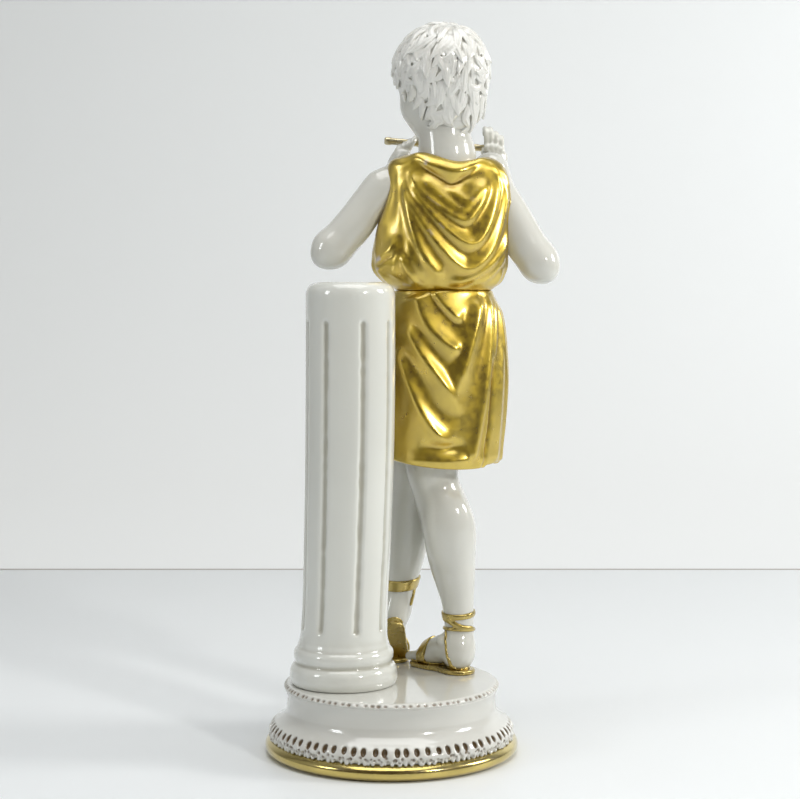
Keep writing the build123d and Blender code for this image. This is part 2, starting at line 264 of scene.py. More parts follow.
def through(heights, values, at):
    """A smooth line through values at rising heights, read at other heights."""
    heights, values = np.asarray(heights, float), np.asarray(values, float)
    slopes = np.gradient(values, heights)
    k = np.clip(np.searchsorted(heights, at) - 1, 0, len(heights) - 2)
    width = heights[k + 1] - heights[k]
    t = np.clip((at - heights[k]) / width, 0, 1)
    start = (1 + 2 * t) * (1 - t) ** 2 * values[k] + t * (1 - t) ** 2 * width * slopes[k]
    end = t * t * (3 - 2 * t) * values[k + 1] + t * t * (t - 1) * width * slopes[k + 1]
    return start + end


class Trunk:
    """A draped body with level sections, squarer than ovals: rows of height, left and right edge, middle
    depth and half depth."""

    def __init__(self, rows, power):
        self.rows = np.array(sorted(rows), float)
        self.power = power

    def at(self, height):
        left, right, deep, half = (through(self.rows[:, 0], self.rows[:, i], height) for i in (1, 2, 3, 4))
        return (left + right) / 2, (left - right) / 2, deep, half

    def distance(self, clay, grow=0.0):
        x, y, z = clay.axes()
        middle_x, half_x, middle_y, half_y = (v[None, None, :] for v in self.at(clay.grid[2]))
        half_x, half_y = half_x + grow, half_y + grow
        u, v = abs(x - middle_x) / half_x + 1e-4, abs(y - middle_y) / half_y + 1e-4
        near = (u**self.power + v**self.power) ** (1 / self.power)
        p = self.power - 1
        slope = np.sqrt(((u / near) ** p / half_x) ** 2 + ((v / near) ** p / half_y) ** 2)
        return ((near - 1) / slope).astype(np.float32)

    def surface(self, x, z, back=True):
        """The point of the surface behind or before (x, z)."""
        middle_x, half_x, middle_y, half_y = self.at(z)
        share = np.clip((x - middle_x) / half_x, -0.985, 0.985)
        depth = half_y * (1 - abs(share) ** self.power) ** (1 / self.power)
        return np.stack([middle_x + share * half_x, middle_y + (depth if back else -depth), z], -1)

    def round_about(self, angle, z):
        """The point of the surface at an angle: 0 is the middle of the back, 90 the left side, 180 front."""
        middle_x, half_x, middle_y, half_y = self.at(z)
        across, along = np.sin(np.radians(angle)), np.cos(np.radians(angle))
        reach = (abs(across) ** self.power + abs(along) ** self.power) ** (-1 / self.power)
        return np.stack([middle_x + half_x * across * reach, middle_y + half_y * along * reach, z], -1)

    def outward(self, point):
        middle_x, half_x, middle_y, half_y = self.at(point[..., 2])
        u, v = (point[..., 0] - middle_x) / half_x, (point[..., 1] - middle_y) / half_y
        p = self.power - 1
        normal = np.stack([np.sign(u) * abs(u) ** p / half_x, np.sign(v) * abs(v) ** p / half_y, 0 * u], -1)
        return normal / np.linalg.norm(normal, axis=-1, keepdims=True)

    def path(self, points, place):
        """A path of (x, z) laid on the back or the front, or of (angle, z) laid round about."""
        way = curve(points, 0.7)
        if place == "round":
            return self.round_about(way[:, 0], way[:, 1])
        return self.surface(way[:, 0], way[:, 1], place == "back")


CHART_COLUMNS = 300  # all the way round a trunk
DEGREES_APART = 360 / CHART_COLUMNS


class Drape:
    """How far cloth stands off a trunk, on a chart of angle and height: crisp ridges with hollow flanks."""

    def __init__(self, trunk, low, high, soft, step=0.5):
        self.trunk, self.low, self.soft, self.step = trunk, low, soft, step
        angles = np.arange(CHART_COLUMNS) * DEGREES_APART
        heights = np.arange(low, high + step, step)
        self.points = trunk.round_about(*np.meshgrid(angles, heights, indexing="ij"))
        self.normals = trunk.outward(self.points)
        self.rise = np.zeros(self.points.shape[:2])
        self.dip = np.zeros(self.points.shape[:2])

    def nearest(self, path, reach):
        """The chart's cells near a path, how far each is, how far along it, and on which side."""
        low, high = path.min(0) - reach, path.max(0) + reach
        cells = np.all((self.points > low) & (self.points < high), axis=-1)
        offset = self.points[cells][:, None] - path[None]
        distance = np.sqrt((offset**2).sum(-1))
        closest = distance.argmin(1)
        rows = np.arange(len(closest))
        tangent = np.gradient(path, axis=0)[closest]
        side = np.einsum("ij,ij->i", offset[rows, closest], np.cross(self.normals[cells], tangent))
        return cells, distance[rows, closest], closest / (len(path) - 1), side

    def ridge(self, points, rise, widths, place="back", fades=(0.15, 0.15), soft=None):
        """A fold whose flanks fall away over two widths: to the right of the path's way, seen from outside,
        and to its left. It fades over a share of its length at each end; soft rounds its crest."""
        soft = soft or self.soft
        cells, distance, along, side = self.nearest(self.trunk.path(points, place), 3.6 * max(widths))
        start, end = np.clip(along / fades[0], 0, 1), np.clip((1 - along) / fades[1], 0, 1)
        fade = ease(start) * ease(end)
        width = np.where(side < 0, widths[0], widths[1])
        crest = np.sqrt(distance**2 + soft**2) - soft
        height = rise * fade * np.exp(-crest / width)
        self.rise[cells] = (self.rise[cells] ** 3 + height**3) ** (1 / 3)

    def crease(self, points, depth, width, place="back"):
        cells, distance, along, _ = self.nearest(self.trunk.path(points, place), 3 * width)
        ends = np.clip(np.minimum(along, 1 - along) / 0.25, 0, 1)
        self.dip[cells] = np.maximum(self.dip[cells], depth * ends * np.exp(-((distance / width) ** 2)))

    def over(self, clay):
        """The standoff at every point of the clay."""
        chart = self.rise - self.dip
        chart = (2 * chart + np.roll(chart, 1, 0) + np.roll(chart, -1, 0)) / 4
        chart[:, 1:-1] = (2 * chart[:, 1:-1] + chart[:, 2:] + chart[:, :-2]) / 4
        x, y, z = clay.axes()
        middle_x, half_x, middle_y, half_y = (v[None, None, :] for v in self.trunk.at(clay.grid[2]))
        angle = np.degrees(np.arctan2((x - middle_x) / half_x,
                                      (y - middle_y) / half_y)) % 360 / DEGREES_APART
        row = np.clip((z - self.low) / self.step, 0, chart.shape[1] - 1.001) + 0 * angle
        i, k = np.floor(angle).astype(int) % CHART_COLUMNS, np.floor(row).astype(int)
        a, b = angle - np.floor(angle), row - k
        lower, upper = (chart[j, k] * (1 - b) + chart[j, k + 1] * b for j in (i, (i + 1) % CHART_COLUMNS))
        return (lower * (1 - a) + upper * a).astype(np.float32)


# ---------------------------------------------------------------- materials
class Nodes:
    """A node tree with short ways to add to it. An input takes a number, a colour or a node's output."""

    def __init__(self, tree):
        self.tree = tree

    def feed(self, socket, value):
        if isinstance(value, bpy.types.NodeSocket):
            self.tree.links.new(value, socket)
        elif isinstance(value, tuple) and len(value) < len(socket.default_value):
            socket.default_value = (*value, 1)
        else:
            socket.default_value = value

    def add(self, kind, output, inputs=None, **settings):
        node = self.tree.nodes.new("ShaderNode" + kind)
        for name, value in settings.items():
            setattr(node, name, value)
        for name, value in (inputs or {}).items():
            self.feed(node.inputs[name], value)
        return node.outputs[output]

    def shade(self, inputs):
        """Sets or links the inputs of the material's own shader."""
        for name, value in inputs.items():
            self.feed(self.tree.nodes["Principled BSDF"].inputs[name], value)

    def swell(self):
        """How far the surface bulges or dips, as Clay.piece stored it."""
        return self.add("Attribute", "Fac", attribute_name="swell")

    def noise(self, scale, detail, stretch=(1, 1, 1)):
        placed = self.add("Mapping", "Vector", {"Vector": self.add("TexCoord", "Object"), "Scale": stretch})
        return self.add("TexNoise", "Fac", {"Vector": placed, "Scale": scale, "Detail": detail})

    def mix(self, factor, a, b):
        return self.add("Mix", "Result", {"Factor": factor, "A": a, "B": b}, data_type="RGBA")

    def maths(self, operation, a, b):
        return self.add("Math", "Value", {0: a, 1: b}, operation=operation)

    def spread(self, source, low, high):
        """Stretches a value so that low reads 0 and high reads 1."""
        return self.add("MapRange", "Result", {"Value": source, "From Min": low, "From Max": high})

    def bump(self, height, strength, distance):
        return self.add("Bump", "Normal", {"Height": height, "Strength": strength, "Distance": distance})

    def ramp(self, source, stops):
        """A smooth run through stops, each a position with a grey or a colour."""
        node = self.tree.nodes.new("ShaderNodeValToRGB")
        node.color_ramp.interpolation = "EASE"
        elements = node.color_ramp.elements
        while len(elements) < len(stops):
            elements.new(0.5)
        for element, (position, tone) in zip(elements, stops):
            element.position = position
            element.color = (*(tone if isinstance(tone, tuple) else (tone,) * 3), 1)
        self.feed(node.inputs[0], source)
        return node.outputs["Color"]


def new_material(name):
    material = bpy.data.materials.new(name)
    material.use_nodes = True
    return material, Nodes(material.node_tree)


def dimmed(colour, share):
    return tuple(c * share for c in colour)


def glaze(name, body, pooled_and_shaded, dip=0.25):
    """Clear glaze over white porcelain: darker where the surface dips, pooled glaze and painted shade
    together, and rippled a little.
    """
    rough = 0.12
    material, look = new_material(name)
    # painted shade: the glaze takes its second, darker colour where the surface dips, as well as pooling
    # there
    hollow = look.spread(look.swell(), 0.0, -dip)
    tint = look.mix(look.noise(60, 4), body, dimmed(body, 0.96))
    look.shade(
        {
            "Base Color": look.mix(hollow, tint, pooled_and_shaded),
            "Roughness": look.ramp(look.noise(220, 2), [(0.3, 0.8 * rough), (0.75, 1.5 * rough)]),
            "IOR": 1.52,
            "Coat Weight": 0.6,
            "Coat Roughness": 0.04,
            "Subsurface Weight": 0.12,
            "Subsurface Radius": (1.0, 0.9, 0.8),
            "Subsurface Scale": 0.0015,
            "Normal": look.bump(look.noise(190, 3), 0.05, 0.0006),
        }
    )
    return material


def gilding(name, gold, shade, worn=None, wear=0.6, rough=0.3):
    """Brushed gold lustre over glaze: browner in the dips, a painted shade, and, given a worn colour, rubbed
    on the ridges.
    """
    material, look = new_material(name)
    swell = look.swell()
    strokes = look.noise(240, 4, (1, 1, 0.35))
    tone = look.mix(strokes, gold, dimmed(gold, 0.8))
    # painted shade: the gold turns to its darker shade colour where the surface dips
    tone = look.mix(look.spread(swell, 0.02, -0.3), tone, shade)
    metal = 1.0
    if worn:
        patch = look.ramp(look.noise(85, 3), [(wear, 0.0), (wear + 0.07, 1.0)])
        rubbed = look.maths("MULTIPLY", patch, look.spread(swell, 0.02, 0.28))
        tone = look.mix(rubbed, tone, worn)
        metal = look.maths("SUBTRACT", 1.0, look.maths("MULTIPLY", rubbed, 0.8))
    look.shade(
        {
            "Base Color": tone,
            "Metallic": metal,
            "Roughness": look.ramp(look.noise(300, 4), [(0.3, rough * 0.8), (0.7, rough * 1.3)]),
            "Coat Weight": 1.0,
            "Coat Roughness": 0.25,
            "Coat IOR": 1.9,
        }
    )
    return material


white = (0.685, 0.685, 0.635)
# the second colour of each glaze is pooled glaze and painted shade, used where the surface dips
skin = glaze("white_glaze", white, (0.44, 0.43, 0.38))
locks = glaze("hair_glaze", (0.78, 0.78, 0.745), (0.50, 0.49, 0.44), dip=0.3)
cream = glaze("column_glaze", (0.735, 0.745, 0.70), (0.50, 0.49, 0.42), dip=0.36)
# the rim's dark brown is painted shade in the pits and pricks, as well as pooled glaze
lace = glaze("rim_glaze", (0.68, 0.68, 0.64), (0.15, 0.10, 0.05), dip=0.8)
# the second colour of each gilding is painted shade: the browner gold that fills the dips
bright, painted_shade_brown = (0.69, 0.495, 0.035), (0.44, 0.265, 0.008)
gold = gilding("tunic_gold", bright, painted_shade_brown, (0.62, 0.56, 0.60), wear=0.61, rough=0.34)
cloth_gold = gilding("skirt_gold", bright, painted_shade_brown, rough=0.34)
painted = gilding("sandal_gold", (0.52, 0.38, 0.06), (0.22, 0.14, 0.02))
burnished = gilding("band_gold", (0.62, 0.47, 0.08), (0.30, 0.20, 0.03), rough=0.18)
reed = gilding("flute_gold", (0.60, 0.51, 0.28), (0.32, 0.24, 0.09), (0.66, 0.60, 0.44), rough=0.34)


# ---------------------------------------------------------------- plinth
def lathe(clay, centre, outline, inner=0.0, blend=0.8):
    """Turned clay about a vertical axis: outline is (radius, height) from the bottom up."""
    x, y, z = clay.axes()
    heights = [h for _, h in outline]
    radius = through(heights, [r for r, _ in outline], clay.grid[2])[None, None, :]
    from_axis = np.sqrt((x - centre[0]) ** 2 + (y - centre[1]) ** 2)
    distance = round_overlap(from_axis - radius, z - heights[-1], blend)
    distance = round_overlap(distance, heights[0] - z, blend)
    if inner:
        distance = round_overlap(distance, inner - from_axis, blend)
    clay.field = distance.astype(np.float32)


def foot_band():
    low, high = box_ends("gilt_foot_band")
    clay = Clay(low - MARGIN, high + MARGIN, 0.5)
    foot, top, radius = low[2], high[2], high[0]
    outline = [(radius - 2.6, foot), (radius - 0.6, foot + 1.3), (radius, foot + 3.2)]
    outline += [(radius - 0.7, foot + 5.2), (radius - 2.4, top)]
    lathe(clay, (0, 0), outline, inner=radius - 8.5, blend=0.6)
    clay.piece("gilt_foot_band_turned", burnished, ["gilt_foot_band"], "foot_gilding")


def round_places(count, jitter):
    """The ways out from the plinth's axis, spaced evenly about it but for a jitter."""
    for i in range(count):
        turn = 2 * pi * (i + jitter * rng.uniform(-1, 1)) / count
        yield np.array([cos(turn), sin(turn), 0])


def drum():
    """The waisted drum flares into a lace-like rim: oval pits over lumps of clay, pricked with a point."""
    low, high = box_ends("lower_pricked_rim")
    top = corner("plinth_drum", 1, 2)
    waist = corner("plinth_drum", 1, 0) - 4.9
    clay = Clay(low - MARGIN, (high[0] + MARGIN, high[1] + MARGIN, top + MARGIN), 0.4)
    base, radius = low[2], high[0]
    rim = [(-1.8, 0), (-0.8, 1.0), (-0.1, 2.4), (-0.6, 4.2), (-2.2, 6.2)]
    neck = [(3.2, 7.6), (1.4, 9.2), (0.4, 11.0), (0, 13.5), (0, 17)]
    outline = [(radius + out, base + up) for out, up in rim] + [(waist + out, base + up) for out,
                                                                up in neck]
    outline += [(waist + 1.0, top + 0.8)]
    lathe(clay, (0, 0), outline, inner=corner("plinth_top", 1, 0) - 2, blend=0.5)
    for row, per_turn in ((0, 130), (1, 124), (2, 118)):
        for out in round_places(per_turn, 0.4):
            at = out * (radius - 0.75 + 0.2 * rng.uniform(-1, 1)) + [0, 0, base + 0.5 + 1.0 * row]
            clay.ball(at, 0.75 + 0.22 * rng.uniform(-1, 1), blend=0.35)
    uncut = clay.field.copy()
    for out in round_places(74, 0.11):
        leaning = np.array([[-out[1], out[0], 0], unit(out + [0, 0, 0.4]), unit([0, 0, 1] - 0.4 * out)])
        height = rng.uniform(0.85, 1.15)
        pit = out * (radius - 0.6) + [0, 0, base + 5.3 + 0.2 * rng.uniform(-1, 1)]
        clay.ball(pit, (1.18, 2.4, 1.9 * height), leaning, blend=0.3, carve=True)
    for out in round_places(230, 0.4):
        prick = out * (radius - 0.25) + [0, 0, base + rng.uniform(0.7, 2.9)]
        clay.ball(prick, rng.uniform(0.5, 0.72), blend=0.2, carve=True)
    nodes = ["plinth_drum", "lower_pricked_rim"]
    clay.piece("plinth_drum_and_lace_rim", lace, nodes, "pricked_rims", soften=0, uncut=uncut)


def table():
    """The flat top with its rounded edge, pricked all round."""
    low, high = box_ends("upper_pricked_rim")
    bottom, top, radius = corner("plinth_top", 0, 2), high[2], high[0]
    clay = Clay((low[0] - MARGIN, low[1] - MARGIN, bottom - MARGIN), high + MARGIN, 0.4)
    outline = [(radius - 0.9, bottom), (radius - 0.2, bottom + 0.8), (radius, (bottom + top) / 2)]
    lathe(clay, (0, 0), outline + [(radius - 0.4, top - 0.8), (radius - 1.3, top)], blend=0.9)
    uncut = clay.field.copy()
    for out in round_places(90, 0.25):
        prick = out * (radius - 0.3) + [0, 0, top - 0.6 + 0.15 * rng.uniform(-1, 1)]
        clay.ball(prick, rng.uniform(0.8, 1.05), blend=0.25, carve=True)
    nodes = ["plinth_top", "upper_pricked_rim"]
    clay.piece("plinth_top_with_pricked_rim", lace, nodes, "pricked_rims", soften=0, uncut=uncut)


# ---------------------------------------------------------------- column
COLUMN = np.array([middle("column_base", 0), middle("column_base", 1), 0])
SHAFT_RADIUS = (corner("column_cap", 1, 1) - corner("column_cap", 0, 1)) / 2
SHAFT_LOW = corner("column_shaft", 0, 2)
COLUMN_TOP = corner("column_cap", 1, 2) - 0.35
LEAN = (middle("column_cap", 0) - COLUMN[0]) / (COLUMN_TOP - SHAFT_LOW)

GROOVES = (17, 58, 108, 151, 197, 241, 287, 332)  # degrees about the shaft
GROOVE_POINTS = 40


def column():
    """The leaning fluted shaft with its rounded top, collar and base, cast and glazed in one."""
    low, high = box_ends("column_base")
    foot = low[2]
    clay = Clay(low - MARGIN, (high[0] + MARGIN, high[1] + MARGIN, COLUMN_TOP + MARGIN), 0.55)
    x, y, z = clay.axes()
    outline = [(21.2, 0), (21.9, 1.6), (22.2, 4.2), (21.6, 6.8), (20.6, 8.6), (20.3, 9.6), (20.45, 11.2),
               (20.3, 13.4)]
    outline += [(19.4, 15.3), (18.4, 17.2), (17.9, 19.6), (17.7, 24), (SHAFT_RADIUS - 0.4, 60)]
    outline += [(SHAFT_RADIUS, 110), (SHAFT_RADIUS, 150), (SHAFT_RADIUS, COLUMN_TOP - foot)]
    radii = through([h + foot for _, h in outline], [r for r, _ in outline], clay.grid[2])
    share = np.clip((clay.grid[2] - SHAFT_LOW) / (COLUMN_TOP - SHAFT_LOW), 0, 1)
    lean = COLUMN[0] + (LEAN * (COLUMN_TOP - SHAFT_LOW)) * share - 1.0 * np.sin(pi * share)
    from_axis = np.sqrt((x - lean[None, None, :]) ** 2 + (y - COLUMN[1]) ** 2)
    distance = round_overlap(from_axis - radii[None, None, :], z - COLUMN_TOP, 6.0)
    clay.field = round_overlap(distance, foot - z, 0.4).astype(np.float32)
    heights = np.linspace(SHAFT_LOW + 7, SHAFT_LOW + 130.5, GROOVE_POINTS)
    for degrees_round in GROOVES:
        turn = radians(degrees_round)
        wander = np.cumsum(rng.uniform(-1, 1, GROOVE_POINTS)) * 0.025
        wander -= np.linspace(wander[0], wander[-1], GROOVE_POINTS)
        out = np.interp(heights, clay.grid[2], radii) + 0.25 + 0.12 * rng.uniform(-1, 1, GROOVE_POINTS)
        across = np.interp(heights, clay.grid[2], lean) + out * cos(turn) - wander * sin(turn)
        path = np.stack([across, COLUMN[1] + out * sin(turn) + wander * cos(turn), heights], -1)
        clay.tube(path, 1.45 + 0.1 * rng.uniform(-1, 1, GROOVE_POINTS), blend=0.7, carve=True)
    for height, depth in ((9.4, 0.55), (15.6, 0.35), (4.9, 0.12)):
        ring = np.radians(np.arange(0, 361, 5))
        out = np.interp(foot + height, clay.grid[2], radii) + 0.8 - depth
        circle = [out * np.cos(ring), out * np.sin(ring), 0 * ring + foot + height]
        clay.tube(COLUMN + np.stack(circle, -1), 0.8, blend=0.8, carve=True)
    nodes = ["column_base", "column_collar", "column_shaft", "column_cap"]
    clay.piece("column_fluted_and_turned", cream, nodes, "column_glaze", feel=1.3)


# ---------------------------------------------------------------- tunic
BODY_Y = -20.0
WAIST = 189.3  # where the skirt meets the bodice
skirt_rows = [
    (114, 6.0, -45.3, -22.0, 20.6), (124, 5.6, -46.0, -21.8, 20.2), (132, 5.7, -46.9, -21.6, 19.8),
    (141, 5.5, -47.6, -21.2, 19.2), (152, 5.1, -48.0, -20.8, 18.4), (164, 3.9, -47.4, -20.4, 17.2),
    (175, 2.1, -46.2, -20.0, 15.8), (184, 0.2, -44.0, -20.0, 14.4), (190, -1.3, -42.2, -20.0, 13.6),
]
skirt_form = Trunk(skirt_rows, 2.2)
bodice_rows = [
    (188, -1.6, -42.1, 13.6), (189.4, -1.6, -42.3, 13.8), (192, 1.8, -44.6, 15.6),
    (195, 5.2, -46.4, 16.8), (199, 7.8, -48.0, 17.4), (204, 8.4, -48.9, 17.4), (210, 7.4, -49.4, 17.0),
    (217, 5.8, -49.8, 16.2), (225, 3.2, -50.0, 14.8), (232, 1.6, -49.9, 13.4), (238, 1.4, -49.3, 12.4),
    (242, 2.2, -48.6, 11.8), (246, 2.2, -48.0, 11.0), (252, 2.2, -47.0, 10.0),
]
bodice_form = Trunk([(*row[:3], BODY_Y, row[3]) for row in bodice_rows], 2.5)
NECK_FOOT = np.array([-23.2, -20.6, 246.0])
# the upper edge of the tunic seen from behind: shoulder, neckline, shoulder
TUNIC_TOP = [(-51, 231), (-50, 235.5), (-48.3, 239.6), (-44.2, 244.0), (-39.8, 245.4), (-33.3, 243.6),
             (-27.1, 243.0)]
TUNIC_TOP += [(-21.1, 244.6), (-12.6, 246.8), (-7.2, 246.4), (-3.0, 245.2), (0.4, 243.6), (2.4, 241.0),
              (3.2, 238)]


def bodice_folds():
    """Folds hang in swags between the shoulders, and bunch up where the cloth spills over the waist."""
    drape = Drape(bodice_form, 186, 252, 0.9)
    fold, dent = drape.ridge, drape.crease
    swag = (1.9, 3.4)
    fold([(-7, 245.4), (-13, 243), (-19, 240.6), (-25.2, 238.6), (-31, 239.8), (-37.5, 243)],
         2.6, (2.6, 4.4), fades=(0.4, 0.4), soft=1.4)
    fold([(-20.5, 232.6), (-25, 230.2), (-30.2, 226.2), (-34, 229.4), (-38.3, 236)],
         1.6, swag, fades=(0.35, 0.3))
    fold([(-11.4, 237.4), (-18.3, 230.4), (-24.9, 224.6), (-28.8, 222.4), (-31.4, 224.4), (-35.9, 230.6),
          (-38.6, 237)], 1.7, swag)
    fold([(-6.4, 240), (-14.2, 229.6), (-20.6, 223.4), (-27, 219), (-30.8, 218.5), (-33.9, 222),
          (-37.1, 228), (-39.6, 238.8)], 1.9, swag)
    fold([(-5.6, 238), (-14, 225.3), (-20.6, 216.6), (-27, 210.4), (-32.3, 208.3), (-36.4, 211.2),
          (-40.3, 220.1), (-42.6, 232), (-42, 242)], 2.2, swag)
    fold([(-5.2, 236), (-10.7, 222.8), (-15.9, 213.3), (-21, 205.9), (-26.1, 200), (-30.3, 197.8),
          (-35.2, 199.9), (-40.8, 207.1), (-44.8, 219.7), (-46.4, 231), (-45, 240)], 2.2, swag)
    fold([(-4.6, 240), (-7, 228), (-9.3, 216.8), (-12.6, 206), (-17.6, 197.4), (-22.6, 194)],
         2, swag, fades=(0.3, 0.1))
    fold([(-22.4, 192.9), (-29, 192.9), (-35.2, 196), (-40.6, 200.4), (-46.4, 208.4), (-48.4, 217)],
         2, (1.2, 2.4), fades=(0.12, 0.3))
    fold([(-32, 191), (-39, 194.4), (-44.4, 200), (-47.4, 206)], 1.2, (1.2, 2.2))
    fold([(-4.2, 206), (-6.2, 199.8), (-9, 194.8), (-11.9, 191.6)], 1.5, (1.3, 2.2), fades=(0.3, 0.1))
    fold([(-6.2, 214), (-8.2, 205), (-11.4, 198), (-14.6, 193.4)], 0.9, (1.2, 2.2), fades=(0.4, 0.2))
    fold([(7, 199.6), (3.2, 203), (-0.6, 206.4), (-3.2, 213.6)], 1.5, (1.4, 3.2), fades=(0.2, 0.4))
    fold([(-1, 194), (-1.6, 199), (-4, 206)], 0.8, (1.6, 2.2))
    fold([(1.2, 241), (0.2, 236.6), (-0.6, 231), (1.8, 222.8), (4.8, 215.4), (7, 209)], 0.8, (2.4, 1.8),
         fades=(0.1, 0.3))
    fold([(-2.8, 241), (-3.4, 231), (-3.4, 220), (-3, 210)], 0.6, (2.2, 2.2), fades=(0.2, 0.4))
    fold([(-43.6, 243), (-47.2, 235), (-48.9, 224), (-48.9, 212), (-47.8, 203)], 1.2, (1.6, 1.6),
         fades=(0.15, 0.4))
    fold([(-41, 244), (-44.8, 236), (-46.8, 227)], 0.9, (1.2, 1.2))
    dent([(-8.6, 244), (-15.9, 238.4), (-21, 234.9), (-24.9, 232.9), (-30.3, 235.9), (-37.5, 241)],
         1.1, 1.5)
    dent([(7.6, 198.4), (3.6, 201), (-0.4, 204.2)], 0.9, 0.9)
    dent([(-22.8, 190.9), (-28.8, 190.9), (-34, 193)], 1, 0.8)
    dent([(-10.6, 195), (-12.8, 191.8)], 0.8, 0.8)
    # the front has swags of its own between the same two shoulders
    for drop in range(5):
        sink = 227 - 8 * drop
        path = [(-4.8 + 1.2 * drop, 241 - 2.2 * drop), (-9 + 0.6 * drop, 233 - 5 * drop), (-16, sink + 4.2)]
        path += [(-24.5 - drop, sink), (-32.5, sink + 4.2), (-39.5 - 0.8 * drop, 233 - 5 * drop)]
        path += [(-43 - 1.0 * drop, 241 - 2.2 * drop)]
        fold(path, 2, (1.5, 3), "front", (0.15, 0.15))
    # gathers over the waist, on the front and sides
    for i in range(24):
        angle = 66 + 228 * (i + 0.35 * rng.uniform(-1, 1)) / 23
        top = 202 + 6 * rng.uniform(-1, 1)
        lean = 4 * rng.uniform(-1, 1)
        fold([(angle, 190.4), (angle + lean, 196), (angle + 2 * lean, top)], 1.1, (1.2, 1.8),
             "round", (0.2, 0.5))
    return drape


def bodice():
    clay = Clay((-55, -42, 187), (14, 4, 250), 0.45)
    x, y, z = clay.axes()
    shape = bodice_form.distance(clay) - bodice_folds().over(clay)
    edge = through([p[0] for p in TUNIC_TOP], [p[1] for p in TUNIC_TOP], clay.grid[0])[:, None, None]
    shoulder = np.clip((abs(x - NECK_FOOT[0]) - 12) / 7, 0, 1)
    crest = 0.03 * (y - BODY_Y) ** 2 * ease(shoulder)
    front = np.clip((BODY_Y - 2 - y) / 10, 0, 1)
    edge = edge - crest - 6.5 * ease(front) * (1 - shoulder)
    shape = round_overlap(shape, (z - edge) * 0.8, 2.4)
    clay.field = round_overlap(shape, WAIST - z, 1.2).astype(np.float32)
    clay.ball(NECK_FOOT + [0, 0, 4], (13.2, 12.4, 9.0), blend=0.8, carve=True)
    clay.piece("bodice_draped", gold, ["bodice", "cowl_collar"], "tunic_gilding")


def skirt_folds():
    """Three long folds fall slantwise over the back to a steep one on the right, with pleats beside it."""
    drape = Drape(skirt_form, 112, 192, 0.9)
    fold, dent = drape.ridge, drape.crease
    slant = (4.6, 2.8)
    fold([(-11.4, 189), (-13.2, 181), (-17, 173.6), (-22.6, 167.4), (-29.6, 162.8)], 2.7, (4.6, 3.6),
         fades=(0.1, 0.14), soft=1.2)
    fold([(-6.8, 180), (-9.8, 170), (-15.2, 160.4), (-21.4, 151), (-26.2, 142.6), (-29.2, 136.6)],
         3.1, slant, fades=(0.2, 0.32))
    fold([(-3.2, 170), (-5.8, 158), (-10.8, 144.6), (-15.6, 135), (-20.6, 128.6), (-26, 124.6)],
         2.9, slant, fades=(0.2, 0.16))
    fold([(-8.4, 176), (-13.8, 166), (-19.4, 157.6)], 0.7, (1.8, 1.8), fades=(0.3, 0.4), soft=0.7)
    fold([(-5.4, 164), (-9.8, 152), (-15.4, 142), (-20.4, 136.4)], 0.8, (2, 1.8), fades=(0.3, 0.4),
         soft=0.7)
    fold([(-17, 190), (-21, 184), (-25.8, 178.6), (-31, 174.8)], 2.2, (0.9, 6.5), fades=(0.12, 0.3),
         soft=1.1)
    fold([(-36.1, 189), (-34.6, 177), (-31.4, 164), (-27.9, 152), (-25.4, 144), (-24.2, 139)],
         2.6, (4.4, 2.6), fades=(0.14, 0.34))
    fold([(-39.8, 188.5), (-40.4, 178), (-40, 164), (-37.9, 146), (-35.4, 131), (-32.8, 118)], 2, (2, 1.6),
         fades=(0.1, 0.05), soft=0.6)
    fold([(-42.2, 187), (-42.4, 172), (-41, 152), (-39.2, 132), (-37.6, 116)], 1.8, (1.6, 1),
         fades=(0.1, 0.05), soft=0.4)
    fold([(-44.6, 178), (-45.6, 160), (-44.8, 140), (-43.2, 117)], 1.2, (2.4, 2.6), fades=(0.3, 0.05))
    fold([(-1.6, 187), (-0.6, 170), (-0.8, 150), (-1.8, 130), (-2.6, 117)], 1.2, (2.6, 2),
         fades=(0.2, 0.05))
    fold([(2.4, 180), (3.6, 160), (3.8, 140), (3.4, 117)], 1.2, (2, 2), fades=(0.3, 0.05))
    fold([(-2, 120), (-12, 119.2), (-23, 118.8), (-35, 119.8)], 1.3, (2.2, 2.2), fades=(0.15, 0.15))
    dent([(-42, 166), (-41.4, 150), (-40.2, 134), (-38.6, 122), (-38.2, 110)], 2.6, 0.9)
    dent([(-11.6, 125.6), (-17, 124.8), (-24, 124.4), (-31, 125.4)], 1.5, 2.2)
    # front and sides: long pleats fall from the waist, and swing out over the forward knee
    for i in range(15):
        angle = 72 + 216 * i / 14 + 3 * rng.uniform(-1, 1)
        swing = 9 * sin(radians(angle))
        path = [(angle, 188), (angle + 0.2 * swing, 170), (angle + 0.6 * swing, 146), (angle + swing, 116)]
        fold(path, 2.0 + rng.uniform(-0.6, 0.4), (1.8, 2.8), "round", (0.12, 0.04))
    return drape


def skirt():
    clay = Clay((-53, -47, 114), (11, 4, 192), 0.45)
    x, y, z = clay.axes()
    clay.field = skirt_form.distance(clay) - skirt_folds().over(clay)
    panel = np.clip((-38.6 - x) / 0.6, 0, 1) * (y > BODY_Y)
    sway = 0.8 * np.cos(x * 0.55) * np.clip((BODY_Y - y) / 4, 0, 1)
    hem = 115.2 + 0.004 * (x + 30) ** 2 + 1.0 * panel + sway
    clay.field = round_overlap(clay.field, hem - z, 1.0)
    clay.field = round_overlap(clay.field, z - WAIST, 0.5)
    hollow = round_overlap(skirt_form.distance(clay, -3.0), z - 130.0, 2.0)
    clay.field = round_overlap(clay.field, -hollow, 1.0).astype(np.float32)
    clay.piece("skirt_draped", cloth_gold, ["skirt"], "tunic_gilding")


# ---------------------------------------------------------------- legs and sandals
GROUND = corner("plinth_top", 1, 2)
SOLE = 2.0
TOE_THICKNESS = (1.9, 1.5, 1.4, 1.35, 1.3)  # from the big toe out
UPWARD = np.array([0, 0, 1.0])


